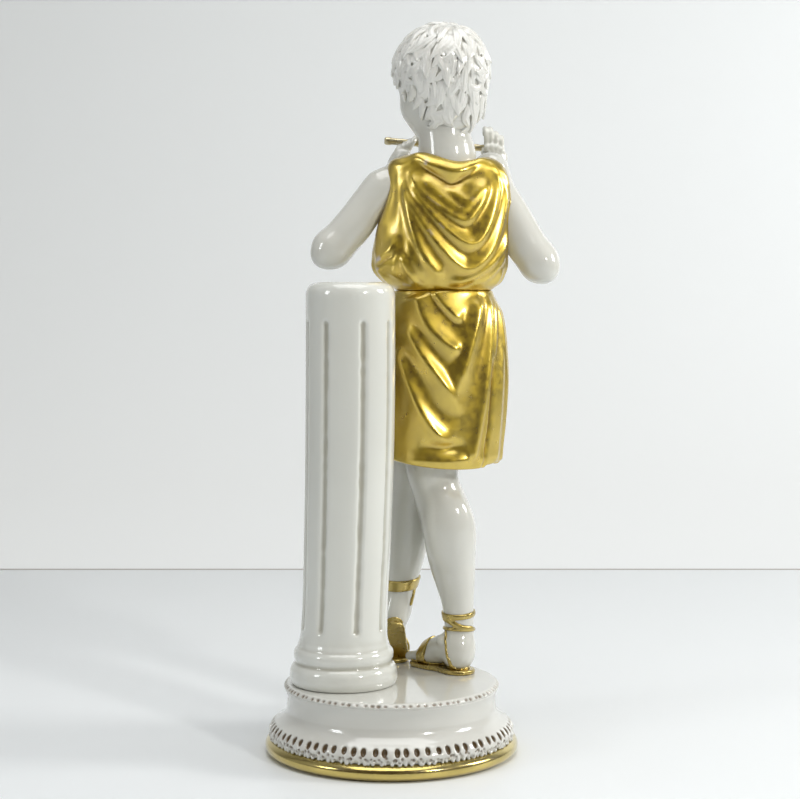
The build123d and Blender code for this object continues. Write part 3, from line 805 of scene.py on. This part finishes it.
def right_leg_form():
    """The standing leg and its flat foot, turned out towards the right."""
    clay = Clay((-43, -44, GROUND - 1), (0, -1, 131), 0.42)
    clay.limb(
        [
            (-18.4, -19.5, 133, 12.0), (-17.0, -19.0, 116, 11.3), (-18.4, -18.2, 107, 10.2),
            (-21.2, -17.2, 99, 10.7), (-23.5, -16.4, 92, 11.2), (-24.7, -16.0, 86, 10.9),
            (-25.3, -15.7, 77, 10.0), (-26.6, -15.4, 68, 8.5), (-27.8, -15.4, 58, 6.8),
            (-28.5, -15.4, 46, 6.1), (-28.6, -15.0, 40, 6.3),
        ]
    )
    clay.ball((-20.8, -9.6, 89), (6.0, 4.4, 12), blend=6.0)
    clay.ball((-27.0, -9.8, 89), (6.0, 4.4, 12), blend=6.0)
    heel = np.array([-28.2, -13.0, GROUND + SOLE])
    toes = np.array([-13.6, -29.6, GROUND + SOLE])
    run = unit(toes - heel)
    side = np.array([-run[1], run[0], 0])
    clay.ball(heel + UPWARD * 5.2, (6.4, 6.4, 6.0), blend=3)
    instep = [(*(heel + UPWARD * 9 + run), 6.4), (*(heel + UPWARD * 6.6 + run * 10), 6.0)]
    clay.limb(instep + [(*(heel + UPWARD * 4.2 + run * 18), 4.6)], 3.0)
    clay.ball(heel + run * 17 + UPWARD * 3.0, (7.0, 7.0, 3.2), blend=2.5)
    for hand in (-1, 1):
        clay.ball(heel + run * 5 + UPWARD * 12 + side * 5.4 * hand, 2.0, blend=2.5)
    for i in range(5):
        out = side * (4.6 - 2.5 * i)
        reach = (8.6, 8.0, 7.2, 6.2, 5.0)[i]
        thick = TOE_THICKNESS[i]
        root = heel + run * (18 + reach * 0.2) + out + UPWARD * 2.4
        tip = heel + run * (17.4 + reach) + out * 0.96 + UPWARD * 1.6
        clay.tube([root, (root + tip) / 2 + UPWARD * 0.5, tip], [thick, thick, thick * 1.05], blend=0.8)
        nail = tip + UPWARD * (thick * 0.8) + run * 0.3
        clay.ball(nail, (0.8, 0.8, 0.35), blend=0.3)
    return clay, heel, run, side


def left_leg_form():
    """The free leg, bent back so that its foot rests on the toes."""
    clay = Clay((-21, -47, GROUND - 1), (11, -13, 131), 0.42)
    clay.limb(
        [
            (-10.4, -25.5, 133, 10.6), (-10.0, -27.5, 116, 10.0), (-8.8, -30.4, 106, 9.9),
            (-7.6, -31.8, 96, 9.9), (-6.2, -32.6, 85, 10.0), (-4.8, -33.0, 75, 9.2),
            (-3.9, -33.2, 66, 7.4), (-3.2, -33.2, 59, 6.3), (-2.2, -32.8, 53, 5.8),
        ]
    )
    heel = np.array([-1.0, -27.2, 45.0])
    ball = np.array([-0.9, -37.4, GROUND + SOLE])
    run = unit(ball - heel)
    side = np.array([1.0, 0, 0])
    front = unit(np.cross(side, run))
    front = front if front[1] < 0 else -front
    clay.ball(heel + front * 5.0 - run * 2.2, (5.4, 5.2, 5.8), blend=3)
    arch = [(-2.4, -33.0, 54, 5.9), (*(heel + front * 5.6 + run * 6), 4.9)]
    clay.limb(arch + [(*(ball + front * 4.2 - run * 3.4), 4.6)], 3.0)
    clay.ball(ball + front * 2.4 + [0, 0, 2.4], (6.0, 3.6, 3.4), blend=2.5)
    for i in range(5):
        out = -4.2 + 2.2 * i
        reach = (5.2, 5.0, 4.6, 4.0, 3.4)[i]
        thick = TOE_THICKNESS[i]
        root = ball + [out, -1.5, 2.6]
        tip = ball + [out * 0.98, -reach, 1.7]
        clay.tube([root, tip], [thick, thick], blend=0.8)
        clay.ball(tip + [0, -0.3, thick * 0.8], (0.8, 0.8, 0.35), blend=0.3)
    return clay, heel, run, side, front, ball


def behind(form, points):
    """Where a form's rear surface lies at each (x, z)."""
    places = []
    for x, z in curve(points, 0.8):
        i, k = (round((value - form.low[axis]) / form.voxel) for value, axis in ((x, 0), (z, 2)))
        inside = np.flatnonzero(form.field[i, :, k] < 0)
        places.append((x, form.grid[1][inside[-1]] if len(inside) else form.grid[1][0], z))
    return np.array(places)


def strip_region(form, path, width):
    """The room within half a width of a path."""
    spans, distance = form.tube_distance(path, np.full(len(path), width / 2), width / 2 + 3)
    region = np.full(form.field.shape, FAR, np.float32)
    region[spans] = distance
    return region


def ring_region(form, centre, normal, width):
    """The room between two planes, a width apart about a centre."""
    return np.abs(measure(form.axes(), centre, unit(normal))) - width / 2


def lay_straps(form, regions, thick, piece_name, node):
    """Straps that lie on the skin, a thickness proud of it, in the rooms given."""
    clay = form.copy()
    room = regions[0]
    for region in regions[1:]:
        room = round_union(room, region, 0.5)
    shell = round_overlap(form.field - thick, -(form.field + 0.9), 0.3)
    clay.field = round_overlap(shell, room, 0.45)
    clay.keep_side((0, 0, GROUND + SOLE * 0.6), (0, 0, -1), 0.3)
    clay.field = clay.field.astype(np.float32)
    clay.piece(piece_name, painted, [node], "sandal_gilding")


def sole_clay(heel, ball, side, up, radii, tip, arch=0.9):
    """A sole: the outline of a foot from heel to toes, a thickness deep below the heel's plane."""
    heel_radius, ball_radius = radii
    run = unit(ball - heel)
    length = np.linalg.norm(ball - heel)
    outer = np.array([heel, ball + run * tip])
    clay = Clay(outer.min(0) - ball_radius - 3, outer.max(0) + ball_radius + 3, 0.42)
    u, v, w = (measure(clay.axes(), heel, way) for way in (run, side, up))
    t = np.clip(u / length, 0, 1)
    waist = arch * np.exp(-(((t - 0.42) / 0.2) ** 2))
    around = np.sqrt((u - t * length) ** 2 + v**2) - (heel_radius + (ball_radius - heel_radius) * t - waist)
    clay.field = round_overlap(around, np.abs(w + SOLE / 2) - SOLE / 2, 0.7).astype(np.float32)
    return clay


def right_leg():
    form, heel, run, side = right_leg_form()
    skin_clay = form.copy()
    skin_clay.keep_side((0, 0, GROUND + SOLE), (0, 0, -1), 0.6)
    skin_clay.piece("right_leg_and_foot", skin, ["right_leg", "right_foot"], "skin_glaze")
    sole = sole_clay(heel, heel + run * 19.5, side, UPWARD, (6.9, 7.7), 8)
    sole.piece("right_sandal_sole", painted, ["right_sole"], "sandal_gilding")
    crossing = behind(form, [(-21.9, 51.6), (-25, 50.4), (-29, 48.7), (-33.4, 47.6)])
    around = [
        ring_region(form, (-28, -15.4, 53.4), (0.05, 0.1, 1), 2.5),
        ring_region(form, (-28.4, -15.4, 47.0), (-0.04, -0.08, 1), 1.6),
        strip_region(form, crossing, 2.4),
    ]
    lay_straps(form, around, 0.8, "right_ankle_straps_wound", "right_ankle_straps")
    inner = behind(form, [(-22.9, 46.5), (-22.6, 43.1), (-22.9, 38.2), (-23.8, 34.8), (-25.0, 31.0),
                          (-25.8, 28.7)])
    branch = behind(form, [(-23.9, 35.4), (-25.6, 32.4), (-27.8, 29.8)])
    outer = [heel + run * 6 - side * 6 + UPWARD * 16, heel + run * 7 - side * 7 + UPWARD * 7,
             heel + run * 9 - side * 7]
    rim = strip_region(form, np.array([heel, heel + run * 19]) + UPWARD * 0.2, 15)
    low = (form.axes()[2] - (GROUND + SOLE + 0.9)) + 0 * form.field
    on_foot = [
        strip_region(form, inner, 1.5),
        strip_region(form, branch, 1.3),
        strip_region(form, curve(outer, 1.0), 1.8),
        ring_region(form, heel + run * 17.6, run + 0.12 * side, 5.0) + np.maximum(form.axes()[2] - 46, 0),
        round_overlap(low, rim, 0.4),
    ]
    lay_straps(form, on_foot, 0.75, "right_foot_straps_laid", "right_foot_straps")


def left_leg():
    form, heel, run, side, front, ball = left_leg_form()
    skin_clay = form.copy()
    skin_clay.keep_side((0, 0, GROUND + SOLE), (0, 0, -1), 0.6)
    skin_clay.keep_side(heel, -front, 0.6)
    skin_clay.piece("left_leg_and_foot", skin, ["left_leg", "left_foot"], "skin_glaze")
    sole = sole_clay(heel, ball - run * 0.5, side, front, (4.7, 6.6), 1.0, arch=0.1)
    toe_pad = sole_clay(ball + [0, 1.0, 0], ball + [0, -1.6, 0], side, UPWARD, (6.5, 6.5), 0)
    sole.field = round_overlap(sole.field, GROUND - sole.axes()[2], 0.4).astype(np.float32)
    sole.piece("left_sandal_sole", painted, ["left_sole"], "sandal_gilding")
    toe_pad.field = round_overlap(toe_pad.field, GROUND - toe_pad.axes()[2], 0.3).astype(np.float32)
    toe_pad.piece("left_sandal_toe_pad", painted, ["left_sole"], "sandal_gilding")
    hanging = behind(form, [(-9.6, 62), (-9.2, 59), (-8.6, 56.6), (-8.0, 54.8)])
    ankle = [ring_region(form, (-3.9, -33.2, 63.6), (0.05, 0.12, 1), 4.9), strip_region(form, hanging, 2.0)]
    lay_straps(form, ankle, 0.9, "left_ankle_strap_wound", "left_ankle_straps")
    z = form.axes()[2]
    near_sole = measure(form.axes(), heel, front) - 0.9
    on_foot = [
        ring_region(form, ball + [0, -2.2, 3], (0, 1, 0.15), 2.4) + np.maximum(z - 40, 0),
        round_overlap(near_sole + 0 * form.field, ring_region(form, heel - run * 4, run, 5), 0.4),
    ]
    lay_straps(form, on_foot, 0.75, "left_foot_straps_laid", "left_foot_straps")


# ---------------------------------------------------------------- arms, hands and flute
FLUTE_START = np.array([2.6, -47.0, 254.3])
FLUTE_END = np.array([-47.5, -51.5, 251.0])


def finger(clay, points, thick):
    path = curve(points, 0.6)
    taper = np.interp(np.linspace(0, 1, len(path)), [0, 0.45, 0.55, 0.8, 1], [1.1, 1.0, 1.08, 0.98, 0.86])
    clay.tube(path, thick * taper, blend=0.45)


def right_arm():
    clay = Clay((-73, -57, 190), (-33, -7, 263), 0.36)
    upper = [(-41.6, -22.4, 239.5, 8.0), (-43.7, -22.2, 230.6, 8.6), (-49.6, -21.2, 220.4, 8.8)]
    clay.limb(upper + [(-56.4, -19.4, 208.8, 8.6), (-61.4, -18.0, 201.0, 7.8)])
    clay.ball((-62.4, -17.6, 200.8), (7.6, 8.2, 8.2), blend=3)
    clay.ball((-64.4, -16.4, 197.9), (5.0, 5.4, 4.8), blend=3)
    fore = [(-61.6, -20, 202.4, 7.8), (-60.5, -22.5, 204.5, 8.0), (-56, -29.5, 212, 7.4),
            (-50.8, -37, 222.5, 6.0)]
    clay.limb(fore + [(-46.9, -43, 232, 4.9), (-45.6, -45.5, 239, 4.4)], 2.5)
    clay.limb([(-45.6, -45.5, 239, 4.4), (-45.9, -45.8, 244, 4.2), (-45.5, -46.4, 248, 3.4)], 1.5)
    clay.ball((-45.2, -45.8, 247.0), (5.0, 2.6, 4.6), blend=1.6)
    tips = [(-40.6, 259.7), (-42.7, 259.5), (-45.2, 257.6), (-47.5, 255.8)]
    roots = [(-41.4, 251.9), (-43.4, 252.2), (-45.6, 251.8), (-47.5, 250.6)]
    for (tip_x, tip_z), (root_x, root_z) in zip(tips, roots):
        bend = ((root_x + tip_x) / 2 - 0.1, -45.4, (root_z + tip_z) / 2 + 1.0)
        tip = (tip_x, -48.4, tip_z)
        finger(clay, [(root_x, -45.6, root_z - 1.5), bend, tip, (tip_x, -50.6, tip_z - 2.2)], 1.25)
        clay.ball((root_x, -44.2, root_z - 0.6), 1.35, blend=0.9)
        tendon = [(root_x, -43.9, root_z - 1.4), (0.55 * root_x - 20.6, -42.9, root_z - 5.8)]
        clay.tube(tendon, [0.8, 0.45], blend=1.0)
    finger(clay, [(-42.6, -45.4, 245), (-40.5, -46.8, 248.2), (-40.2, -49.4, 250.6)], 1.5)
    clay.piece("right_arm_and_hand", skin, ["right_upper_arm", "right_forearm", "right_hand"], "skin_glaze")


def left_arm():
    clay = Clay((-16, -57, 196), (37, -7, 263), 0.36)
    upper = [(-4, -22.6, 236.5, 8.0), (-0.4, -22.4, 233.4, 8.4), (3.6, -22.0, 232.0, 8.6),
             (10.8, -20.6, 223.8, 7.9)]
    clay.limb(upper + [(17.1, -19.4, 215.4, 8.2), (24.4, -18.2, 207.6, 7.8)])
    clay.ball((25.5, -17.8, 206.6), (7.9, 7.6, 7.6), blend=3)
    clay.ball((28.5, -16.8, 203.5), (4.8, 5.2, 4.7), blend=3)
    fore = [(24.9, -19, 206.4, 7.6), (19.5, -26, 213, 7.6), (11, -34, 223, 6.6), (3.2, -40.4, 233.4, 5.2)]
    clay.limb(fore + [(-0.4, -43, 239.4, 4.5)], 2.5)
    clay.limb([(-0.4, -43, 239.4, 4.4), (-2.4, -44.4, 243.4, 4.0), (-4.6, -45.2, 247.4, 3.3)], 1.5)
    clay.ball((-3.8, -44.8, 245.8), (4.6, 2.6, 4.2), blend=1.6)
    for i in range(4):
        root = np.array([-6.4 + 2.0 * i, -45.2, 249.0 - 0.9 * i])
        bend = root + [-2.0, 0.2, 3.6]
        tip = root + [-4.1 + 0.3 * i, -2.2, 6.6 - 0.3 * i]
        finger(clay, [root - [-1.0, 0, 1.6], bend, tip, tip + [-0.2, -2.2, -1.8]], 1.25)
        clay.ball(root + [0, 1.0, -0.4], 1.3, blend=0.9)
    finger(clay, [(-2.6, -46, 244.4), (-1.2, -49.2, 247.2), (-2.2, -50.4, 250.2)], 1.4)
    clay.piece("left_arm_and_hand", skin, ["left_upper_arm", "left_forearm", "left_hand"], "skin_glaze")


def flute():
    low = np.minimum(FLUTE_START, FLUTE_END) - 3
    high = np.maximum(FLUTE_START, FLUTE_END) + 3
    clay = Clay(low, high, 0.28)
    run = FLUTE_END - FLUTE_START
    clay.tube([FLUTE_START + run * 0.012, FLUTE_END - run * 0.012], [1.5, 1.55], blend=0.2)
    for share in (0.02, 0.98, 0.30):
        at = FLUTE_START + run * share
        clay.tube([at - unit(run) * 0.5, at + unit(run) * 0.5], [1.75, 1.75], blend=0.3)
    for share in (0.17, 0.42, 0.48, 0.54, 0.70, 0.76, 0.82):
        clay.ball(FLUTE_START + run * share + [0, 0, 1.5], 0.55, blend=0.2, carve=True)
    for end in (FLUTE_START - unit(run) * 0.4, FLUTE_END + unit(run) * 0.4):
        clay.ball(end, 0.9, blend=0.3, carve=True)
    clay.piece("flute_turned", reed, ["flute"], "flute_gilding")


# ---------------------------------------------------------------- head and hair
SKULL = np.array([-20.9, -20.0, 278.6])
TURN = radians(35)
NOD = radians(12)
FORWARD = unit([sin(TURN) * cos(NOD), -cos(TURN) * cos(NOD), -sin(NOD)])
LEFT = unit([cos(TURN), sin(TURN), 0])
UP = np.cross(LEFT, -FORWARD)
UP = UP if UP[2] > 0 else -UP
HEAD_AXES = np.array([LEFT, FORWARD, UP])


def on_head(left, forward, up):
    """A point given in the head's own axes: to its left, forward and up from the middle of the skull."""
    return SKULL + LEFT * left + FORWARD * forward + UP * up


def head():
    clay = Clay((-44, -48, 229), (2, 6, 300), 0.33)

    def ball(left, forward, up, radii, blend=2.0, carve=False):
        clay.ball(on_head(left, forward, up), radii, HEAD_AXES, blend, carve)

    def tube(points, radii, blend=1.0, carve=False):
        path = np.array([on_head(*p) for p in points])
        clay.tube(path, radii, blend, carve)

    clay.ball((-23.4, -20.8, 234), (18.0, 10.4, 9.0), blend=1)
    neck = [(-23.6, -20.6, 236, 10.8), (-23.4, -20.6, 243, 12.2), (-23.2, -20.6, 247, 12.0)]
    clay.limb(neck + [(-22.4, -20.8, 252, 11.2), (-21.8, -21.2, 262, 10.6)], 2.0)
    ball(0, -1.5, 2.5, (17.6, 19.6, 18.4), 1)
    ball(0, 8.0, 1.5, (14.2, 11.4, 13.0), 5)
    ball(0, 6.5, -9.0, (13.8, 11.6, 14.0), 5)
    ball(0, 11.0, -16.0, (8.2, 7.0, 6.4), 5)
    for hand in (-1, 1):
        ball(7.0 * hand, 11.2, -10.6, (6.0, 5.6, 6.2), 4)
        brow = [(1.2 * hand, 18.3, 0.6), (5.5 * hand, 18.2, 1.6), (9.4 * hand, 15.6, 0.4)]
        tube(brow, [1.6, 1.7, 1.2], 3)
        ball(5.8 * hand, 18.6, -3.6, (3.7, 2.4, 2.7), 2.4, True)
        ball(5.7 * hand, 14.9, -3.9, (3.5, 3.4, 3.2), 0.7)
        lid = [(2.5 * hand, 17.3, -4.2), (4.2 * hand, 18.35, -2.7), (6.2 * hand, 18.3, -2.5),
               (8.9 * hand, 15.9, -4.1)]
        tube(curve(lid, 0.5), 0.55, 0.5)
        low_lid = [(2.5 * hand, 17.3, -4.4), (5.4 * hand, 18.15, -5.9), (8.8 * hand, 15.9, -4.4)]
        tube(curve(low_lid, 0.5), 0.42, 0.6)
        crease = [(2.6 * hand, 17.9, -2.4), (5.6 * hand, 19.0, -1.2), (9.0 * hand, 16.6, -2.6)]
        tube(curve(crease, 0.5), 0.3, 0.6, True)
        # the ear, with its rim, hollow and lobe
        ball(17.0 * hand, -1.0, -5.6, (2.0, 3.6, 5.0), 1.2)
        ball(18.9 * hand, 0.0, -5.0, (1.4, 2.0, 2.9), 0.8, True)
        ball(17.4 * hand, 0.4, -10.2, (1.3, 1.6, 1.7), 0.8)
        # nostril and wing
        ball(1.9 * hand, 19.3, -10.7, (1.5, 1.8, 1.5), 1.0)
    tube([(0, 17.6, -0.6), (0, 19.0, -4.0), (0, 20.9, -8.6)], [1.5, 1.35, 1.7], 2.4)
    ball(0, 21.2, -9.9, (2.0, 2.0, 1.8), 1.2)
    for hand in (-1, 1):
        ball(1.1 * hand, 20.6, -11.8, (0.6, 0.7, 0.6), 0.4, True)
    # lips pursed as if to blow, philtrum and chin
    ball(0, 17.2, -15.2, (4.6, 2.6, 3.0), 2.4)
    upper_lip = [(-3.6, 18.4, -14.9), (-1.0, 19.9, -13.9), (0, 19.8, -14.2), (1.0, 19.9, -13.9)]
    tube(upper_lip + [(3.6, 18.4, -14.9)], [0.5, 0.95, 0.85, 0.95, 0.5], 0.7)
    tube([(-2.9, 18.5, -15.9), (0, 19.5, -16.5), (2.9, 18.5, -15.9)], [0.6, 1.15, 0.6], 0.7)
    tube(curve([(-3.9, 18.2, -15.3), (0, 20.6, -15.2), (3.9, 18.2, -15.3)], 0.5), 0.3, 0.4, True)
    tube([(0, 20.3, -12.2), (0, 20.4, -13.2)], 0.5, 0.6, True)
    ball(0, 16.2, -21.4, (3.8, 3.0, 3.0), 2.6)
    ball(0, 18.6, -18.6, (3.6, 1.0, 0.9), 1.4, True)
    clay.keep_side((0, 0, 230.5), (0, 0, -1), 0.6)
    clay.piece("head_and_neck", skin, ["head", "neck"], "skin_glaze")


CAP = np.array([18.7, 20.4, 18.8])
CAP_MIDDLE = on_head(0.4, -1.0, 2.8)
CROWN = unit([-0.22, 0.30, 0.93])
# the edge of the hair on the head: how far forward it reaches at heights from the nape to the top
HAIR_EDGE = ([-30, -8, -2, 4, 9, 13, 16, 25], [-4, -3, 1, 7, 12.5, 17, 22, 40])


def head_axes(points):
    """Points in the head's own axes: to its left, forward and up."""
    return (points - SKULL) @ HEAD_AXES.T


class Scalp:
    """The smooth base of the hair, and a way to walk on it."""

    def __init__(self, clay):
        self.clay = clay
        self.ground = blur(clay.field, 4)
        self.slopes = [slope / clay.voxel for slope in np.gradient(self.ground)]

    def normal(self, points):
        out = np.stack([self.clay.sample(slope, points) for slope in self.slopes], -1)
        return out / np.linalg.norm(out, axis=1, keepdims=True)

    def settle(self, points, lift):
        for _ in range(3):
            off = self.clay.sample(self.ground, points) - lift
            points = points - self.normal(points) * off[:, None]
        return points

    def walk(self, start, heading, length, curl, lifts, gravity):
        """Paths laid on the hair, one row for every lock."""
        steps = len(lifts)
        points = self.settle(start, lifts[0])
        path = [points]
        for lift in lifts[1:]:
            out = self.normal(points)
            heading = heading - out * np.einsum("ij,ij->i", heading, out)[:, None]
            heading = heading + np.cross(out, heading) * curl[:, None] - UPWARD * gravity
            heading = heading / np.linalg.norm(heading, axis=1, keepdims=True)
            points = self.settle(points + heading * (length / (steps - 1))[:, None], lift)
            path.append(points)
        return np.stack(path, 1)


def lock_starts(scalp):
    """Roots of the locks in rings about the crown, with the way that each is combed."""
    roots, ways = [], []
    east = unit(np.cross(CROWN, [0, 1, 0.2]))
    north = np.cross(CROWN, east)
    for ring in range(13):
        tilt = radians(5 + 12.2 * ring)
        count = max(5, round(2 * pi * 19 * sin(min(tilt, 2.2)) / 2.7))
        for i in range(count):
            spin = 2 * pi * (i + 0.5 * (ring % 2) + 0.3 * rng.uniform(-1, 1)) / count
            away = cos(spin) * east + sin(spin) * north
            lean = tilt + 0.05 * rng.uniform(-1, 1)
            roots.append(CAP_MIDDLE + 19 * (cos(lean) * CROWN + sin(lean) * away))
            ways.append(cos(lean) * away - sin(lean) * CROWN)
    roots = scalp.settle(np.array(roots), 0.0)
    left, forward, up = head_axes(roots).T
    grown = forward < np.interp(up, *HAIR_EDGE) - 1.0
    return roots[grown], np.array(ways)[grown]


def lay_locks(clay, scalp):
    roots, ways = lock_starts(scalp)
    count = len(roots)
    out = scalp.normal(roots)
    on_top = np.clip((roots[:, 2] - 288) / 8, 0, 1)
    sway = rng.normal(0, 0.34, count) * (1 - 0.5 * on_top)
    heading = ways + np.cross(out, ways) * sway[:, None]
    length = rng.uniform(7.5, 12.5, count) + 4.0 * on_top
    curl = rng.normal(0, 0.12, count)
    width = rng.uniform(0.95, 1.5, count)
    depth = rng.uniform(0.1, 0.55, count)
    flick = np.where(rng.uniform(0, 1, count) > 0.72, rng.uniform(0.6, 1.8, count), 0.0)
    steps = np.linspace(0, 1, 9)
    rise = [0.6 * np.sin(pi * min(0.12 + 0.62 * t, 1)) - 0.5 * (1 - t) ** 4 for t in steps]
    lifts = [depth + height + flick * t**3 for height, t in zip(rise, steps)]
    paths = scalp.walk(roots, heading, length, curl, lifts, 0.10)
    leaf = np.interp(steps, [0, 0.15, 0.4, 0.62, 0.84, 1.0], [0.45, 0.8, 1.0, 0.92, 0.5, 0.04])
    thin = np.interp(steps, [0, 0.15, 0.4, 0.7, 0.9, 1.0], [0.8, 1.0, 1.0, 0.95, 0.75, 0.4])
    for i in range(count):
        path = paths[i]
        ahead = np.gradient(path, axis=0)
        across = np.cross(ahead, scalp.normal(path))
        across = across / np.maximum(np.linalg.norm(across, axis=1, keepdims=True), 1e-6)
        strands = 4 if width[i] > 1.2 else 3
        for strand in np.linspace(-1, 1, strands):
            sideways = across * (strand * width[i] * leaf)[:, None]
            arch = scalp.normal(path) * (0.3 * (1 - strand**2) * leaf)[:, None]
            radius = 0.46 * thin * rng.uniform(0.85, 1.15)
            clay.tube(path + sideways + arch, radius, blend=0.12)
        clay.tube(path - scalp.normal(path) * 0.45, 0.8 * leaf + 0.25, blend=0.3)
    return paths


def hair():
    """Short thick locks lie over each other from the crown down to the nape."""
    clay = Clay((-49, -48, 249), (7, 8, 307), 0.3)
    clay.ball(CAP_MIDDLE, CAP, HEAD_AXES)
    clay.ball((-24, -16.5, 266), (13, 9, 12), blend=8.0)
    scalp = Scalp(clay)
    clay.field -= 0.35
    axes = clay.axes()
    forward, up = (measure(axes, SKULL, way) for way in (FORWARD, UP))
    edge = np.interp(up, *HAIR_EDGE)
    clay.field = round_overlap(clay.field, (forward - edge) * 0.6, 1.5)
    clay.field = round_overlap(clay.field, 255.5 - axes[2], 1.5).astype(np.float32)
    paths = lay_locks(clay, scalp)
    for path in paths[rng.uniform(0, 1, len(paths)) > 0.86]:
        at = path[-1] + 1.1 * unit(path[-1] - path[-2])
        clay.ball(at, rng.uniform(0.5, 0.75), blend=0.2, carve=True)
    clay.piece("hair_of_locks", locks, ["hair"], "hair_glaze", soften=0, feel=0.8)


# ---------------------------------------------------------------- setting
EYE_HEIGHT = 191.5
CAMERA_DISTANCE = 722.0
CAMERA_SIDE = -3.5
LOOK_DOWN = 1.86  # degrees
TABLE_EDGE = -457.0


def plain(name, colour, rough):
    material, look = new_material(name)
    tone = look.mix(look.noise(3, 2), colour, dimmed(colour, 0.985))
    look.shade({"Base Color": tone, "Roughness": rough})
    return material


def sheet(name, corners, material):
    mesh = bpy.data.meshes.new(name)
    mesh.from_pydata([tuple(c * MM for c in point) for point in corners], [], [(0, 1, 2, 3)])
    sheet_object = bpy.data.objects.new(name, mesh)
    mesh.materials.append(material)
    bpy.context.scene.collection.objects.link(sheet_object)


def upright(name, y, far, low, high, material):
    sheet(name, [(-far, y, low), (far, y, low), (far, y, high), (-far, y, high)], material)


def softbox(name, place, aim, size, power, colour=(1, 1, 1)):
    light = bpy.data.lights.new(name, "AREA")
    light.shape = "RECTANGLE"
    light.size, light.size_y = (s * MM for s in size)
    light.energy = power
    light.color = colour
    lamp = bpy.data.objects.new(name, light)
    lamp.location = [c * MM for c in place]
    way = lamp.location - type(lamp.location)([c * MM for c in aim])
    lamp.rotation_euler = way.to_track_quat("Z", "Y").to_euler()
    bpy.context.scene.collection.objects.link(lamp)


def camera():
    """A long lens at the height of the boy's waist looks down a little."""
    scene = bpy.context.scene
    data = bpy.data.cameras.new("camera")
    data.lens = 79.2
    data.sensor_width = 36
    data.shift_y = -0.0715
    lens = bpy.data.objects.new("camera", data)
    lens.location = (CAMERA_SIDE * MM, CAMERA_DISTANCE * MM, EYE_HEIGHT * MM)
    lens.rotation_euler = (radians(90 - LOOK_DOWN), 0, pi)
    scene.collection.objects.link(lens)
    scene.camera = lens


def table_and_wall():
    paper = plain("pale_floor", (0.83, 0.86, 0.88), 0.45)
    wall = plain("pale_wall", (0.93, 0.965, 0.985), 0.9)
    # painted shade: a darker strip along the table's back edge draws the shadow line there
    rim = plain("table_edge_painted_shade", (0.62, 0.60, 0.58), 0.6)
    far, edge = 3000, TABLE_EDGE
    sheet("floor", [(-far, edge, 0), (far, edge, 0), (far, far, 0), (-far, far, 0)], paper)
    upright("table_edge_painted_shade", edge - 1, far, -200, 0.6, rim)
    upright("wall", edge - 440, far, -400, far, wall)


def room_light():
    """The room behind the camera is dim, which gives the gold its dark reflections; the far side is pale."""
    world = bpy.data.worlds.new("studio")
    world.use_nodes = True
    bpy.context.scene.world = world
    look = Nodes(world.node_tree)
    depth = look.add("SeparateXYZ", "Y", {0: look.add("TexCoord", "Generated")})
    stops = [(0.0, (0.62, 0.64, 0.66)), (0.5, (0.50, 0.51, 0.52)), (0.72, (0.21, 0.19, 0.145))]
    stops += [(1.0, (0.155, 0.125, 0.08))]
    sky = world.node_tree.nodes["Background"].inputs
    look.feed(sky["Color"], look.ramp(look.spread(depth, -1, 1), stops))
    look.feed(sky["Strength"], 0.62)


def setting():
    camera()
    table_and_wall()
    room_light()
    body = (-10, 0, 170)
    softbox("window_behind", (-590, 680, 540), body, (85, 95), 2.8, (1.0, 0.985, 0.95))
    softbox("window_right", (-900, 0, 550), body, (240, 260), 4.3, (1.0, 0.985, 0.955))
    softbox("window_left", (800, 420, 480), body, (180, 280), 1.4, (0.95, 0.975, 1.0))
    softbox("ceiling", (0, 100, 900), body, (700, 700), 4)
    softbox("wall_wash", (-150, -600, -170), (-150, -900, 120), (2600, 160), 1.9)
    softbox("wall_side", (-900, -300, 520), (-900, -900, 420), (400, 400), 2.6)
    bpy.context.scene.view_settings.view_transform = "Standard"


setting()
foot_band()
drum()
table()
column()
skirt()
bodice()
right_leg()
left_leg()
right_arm()
left_arm()
flute()
head()
hair()
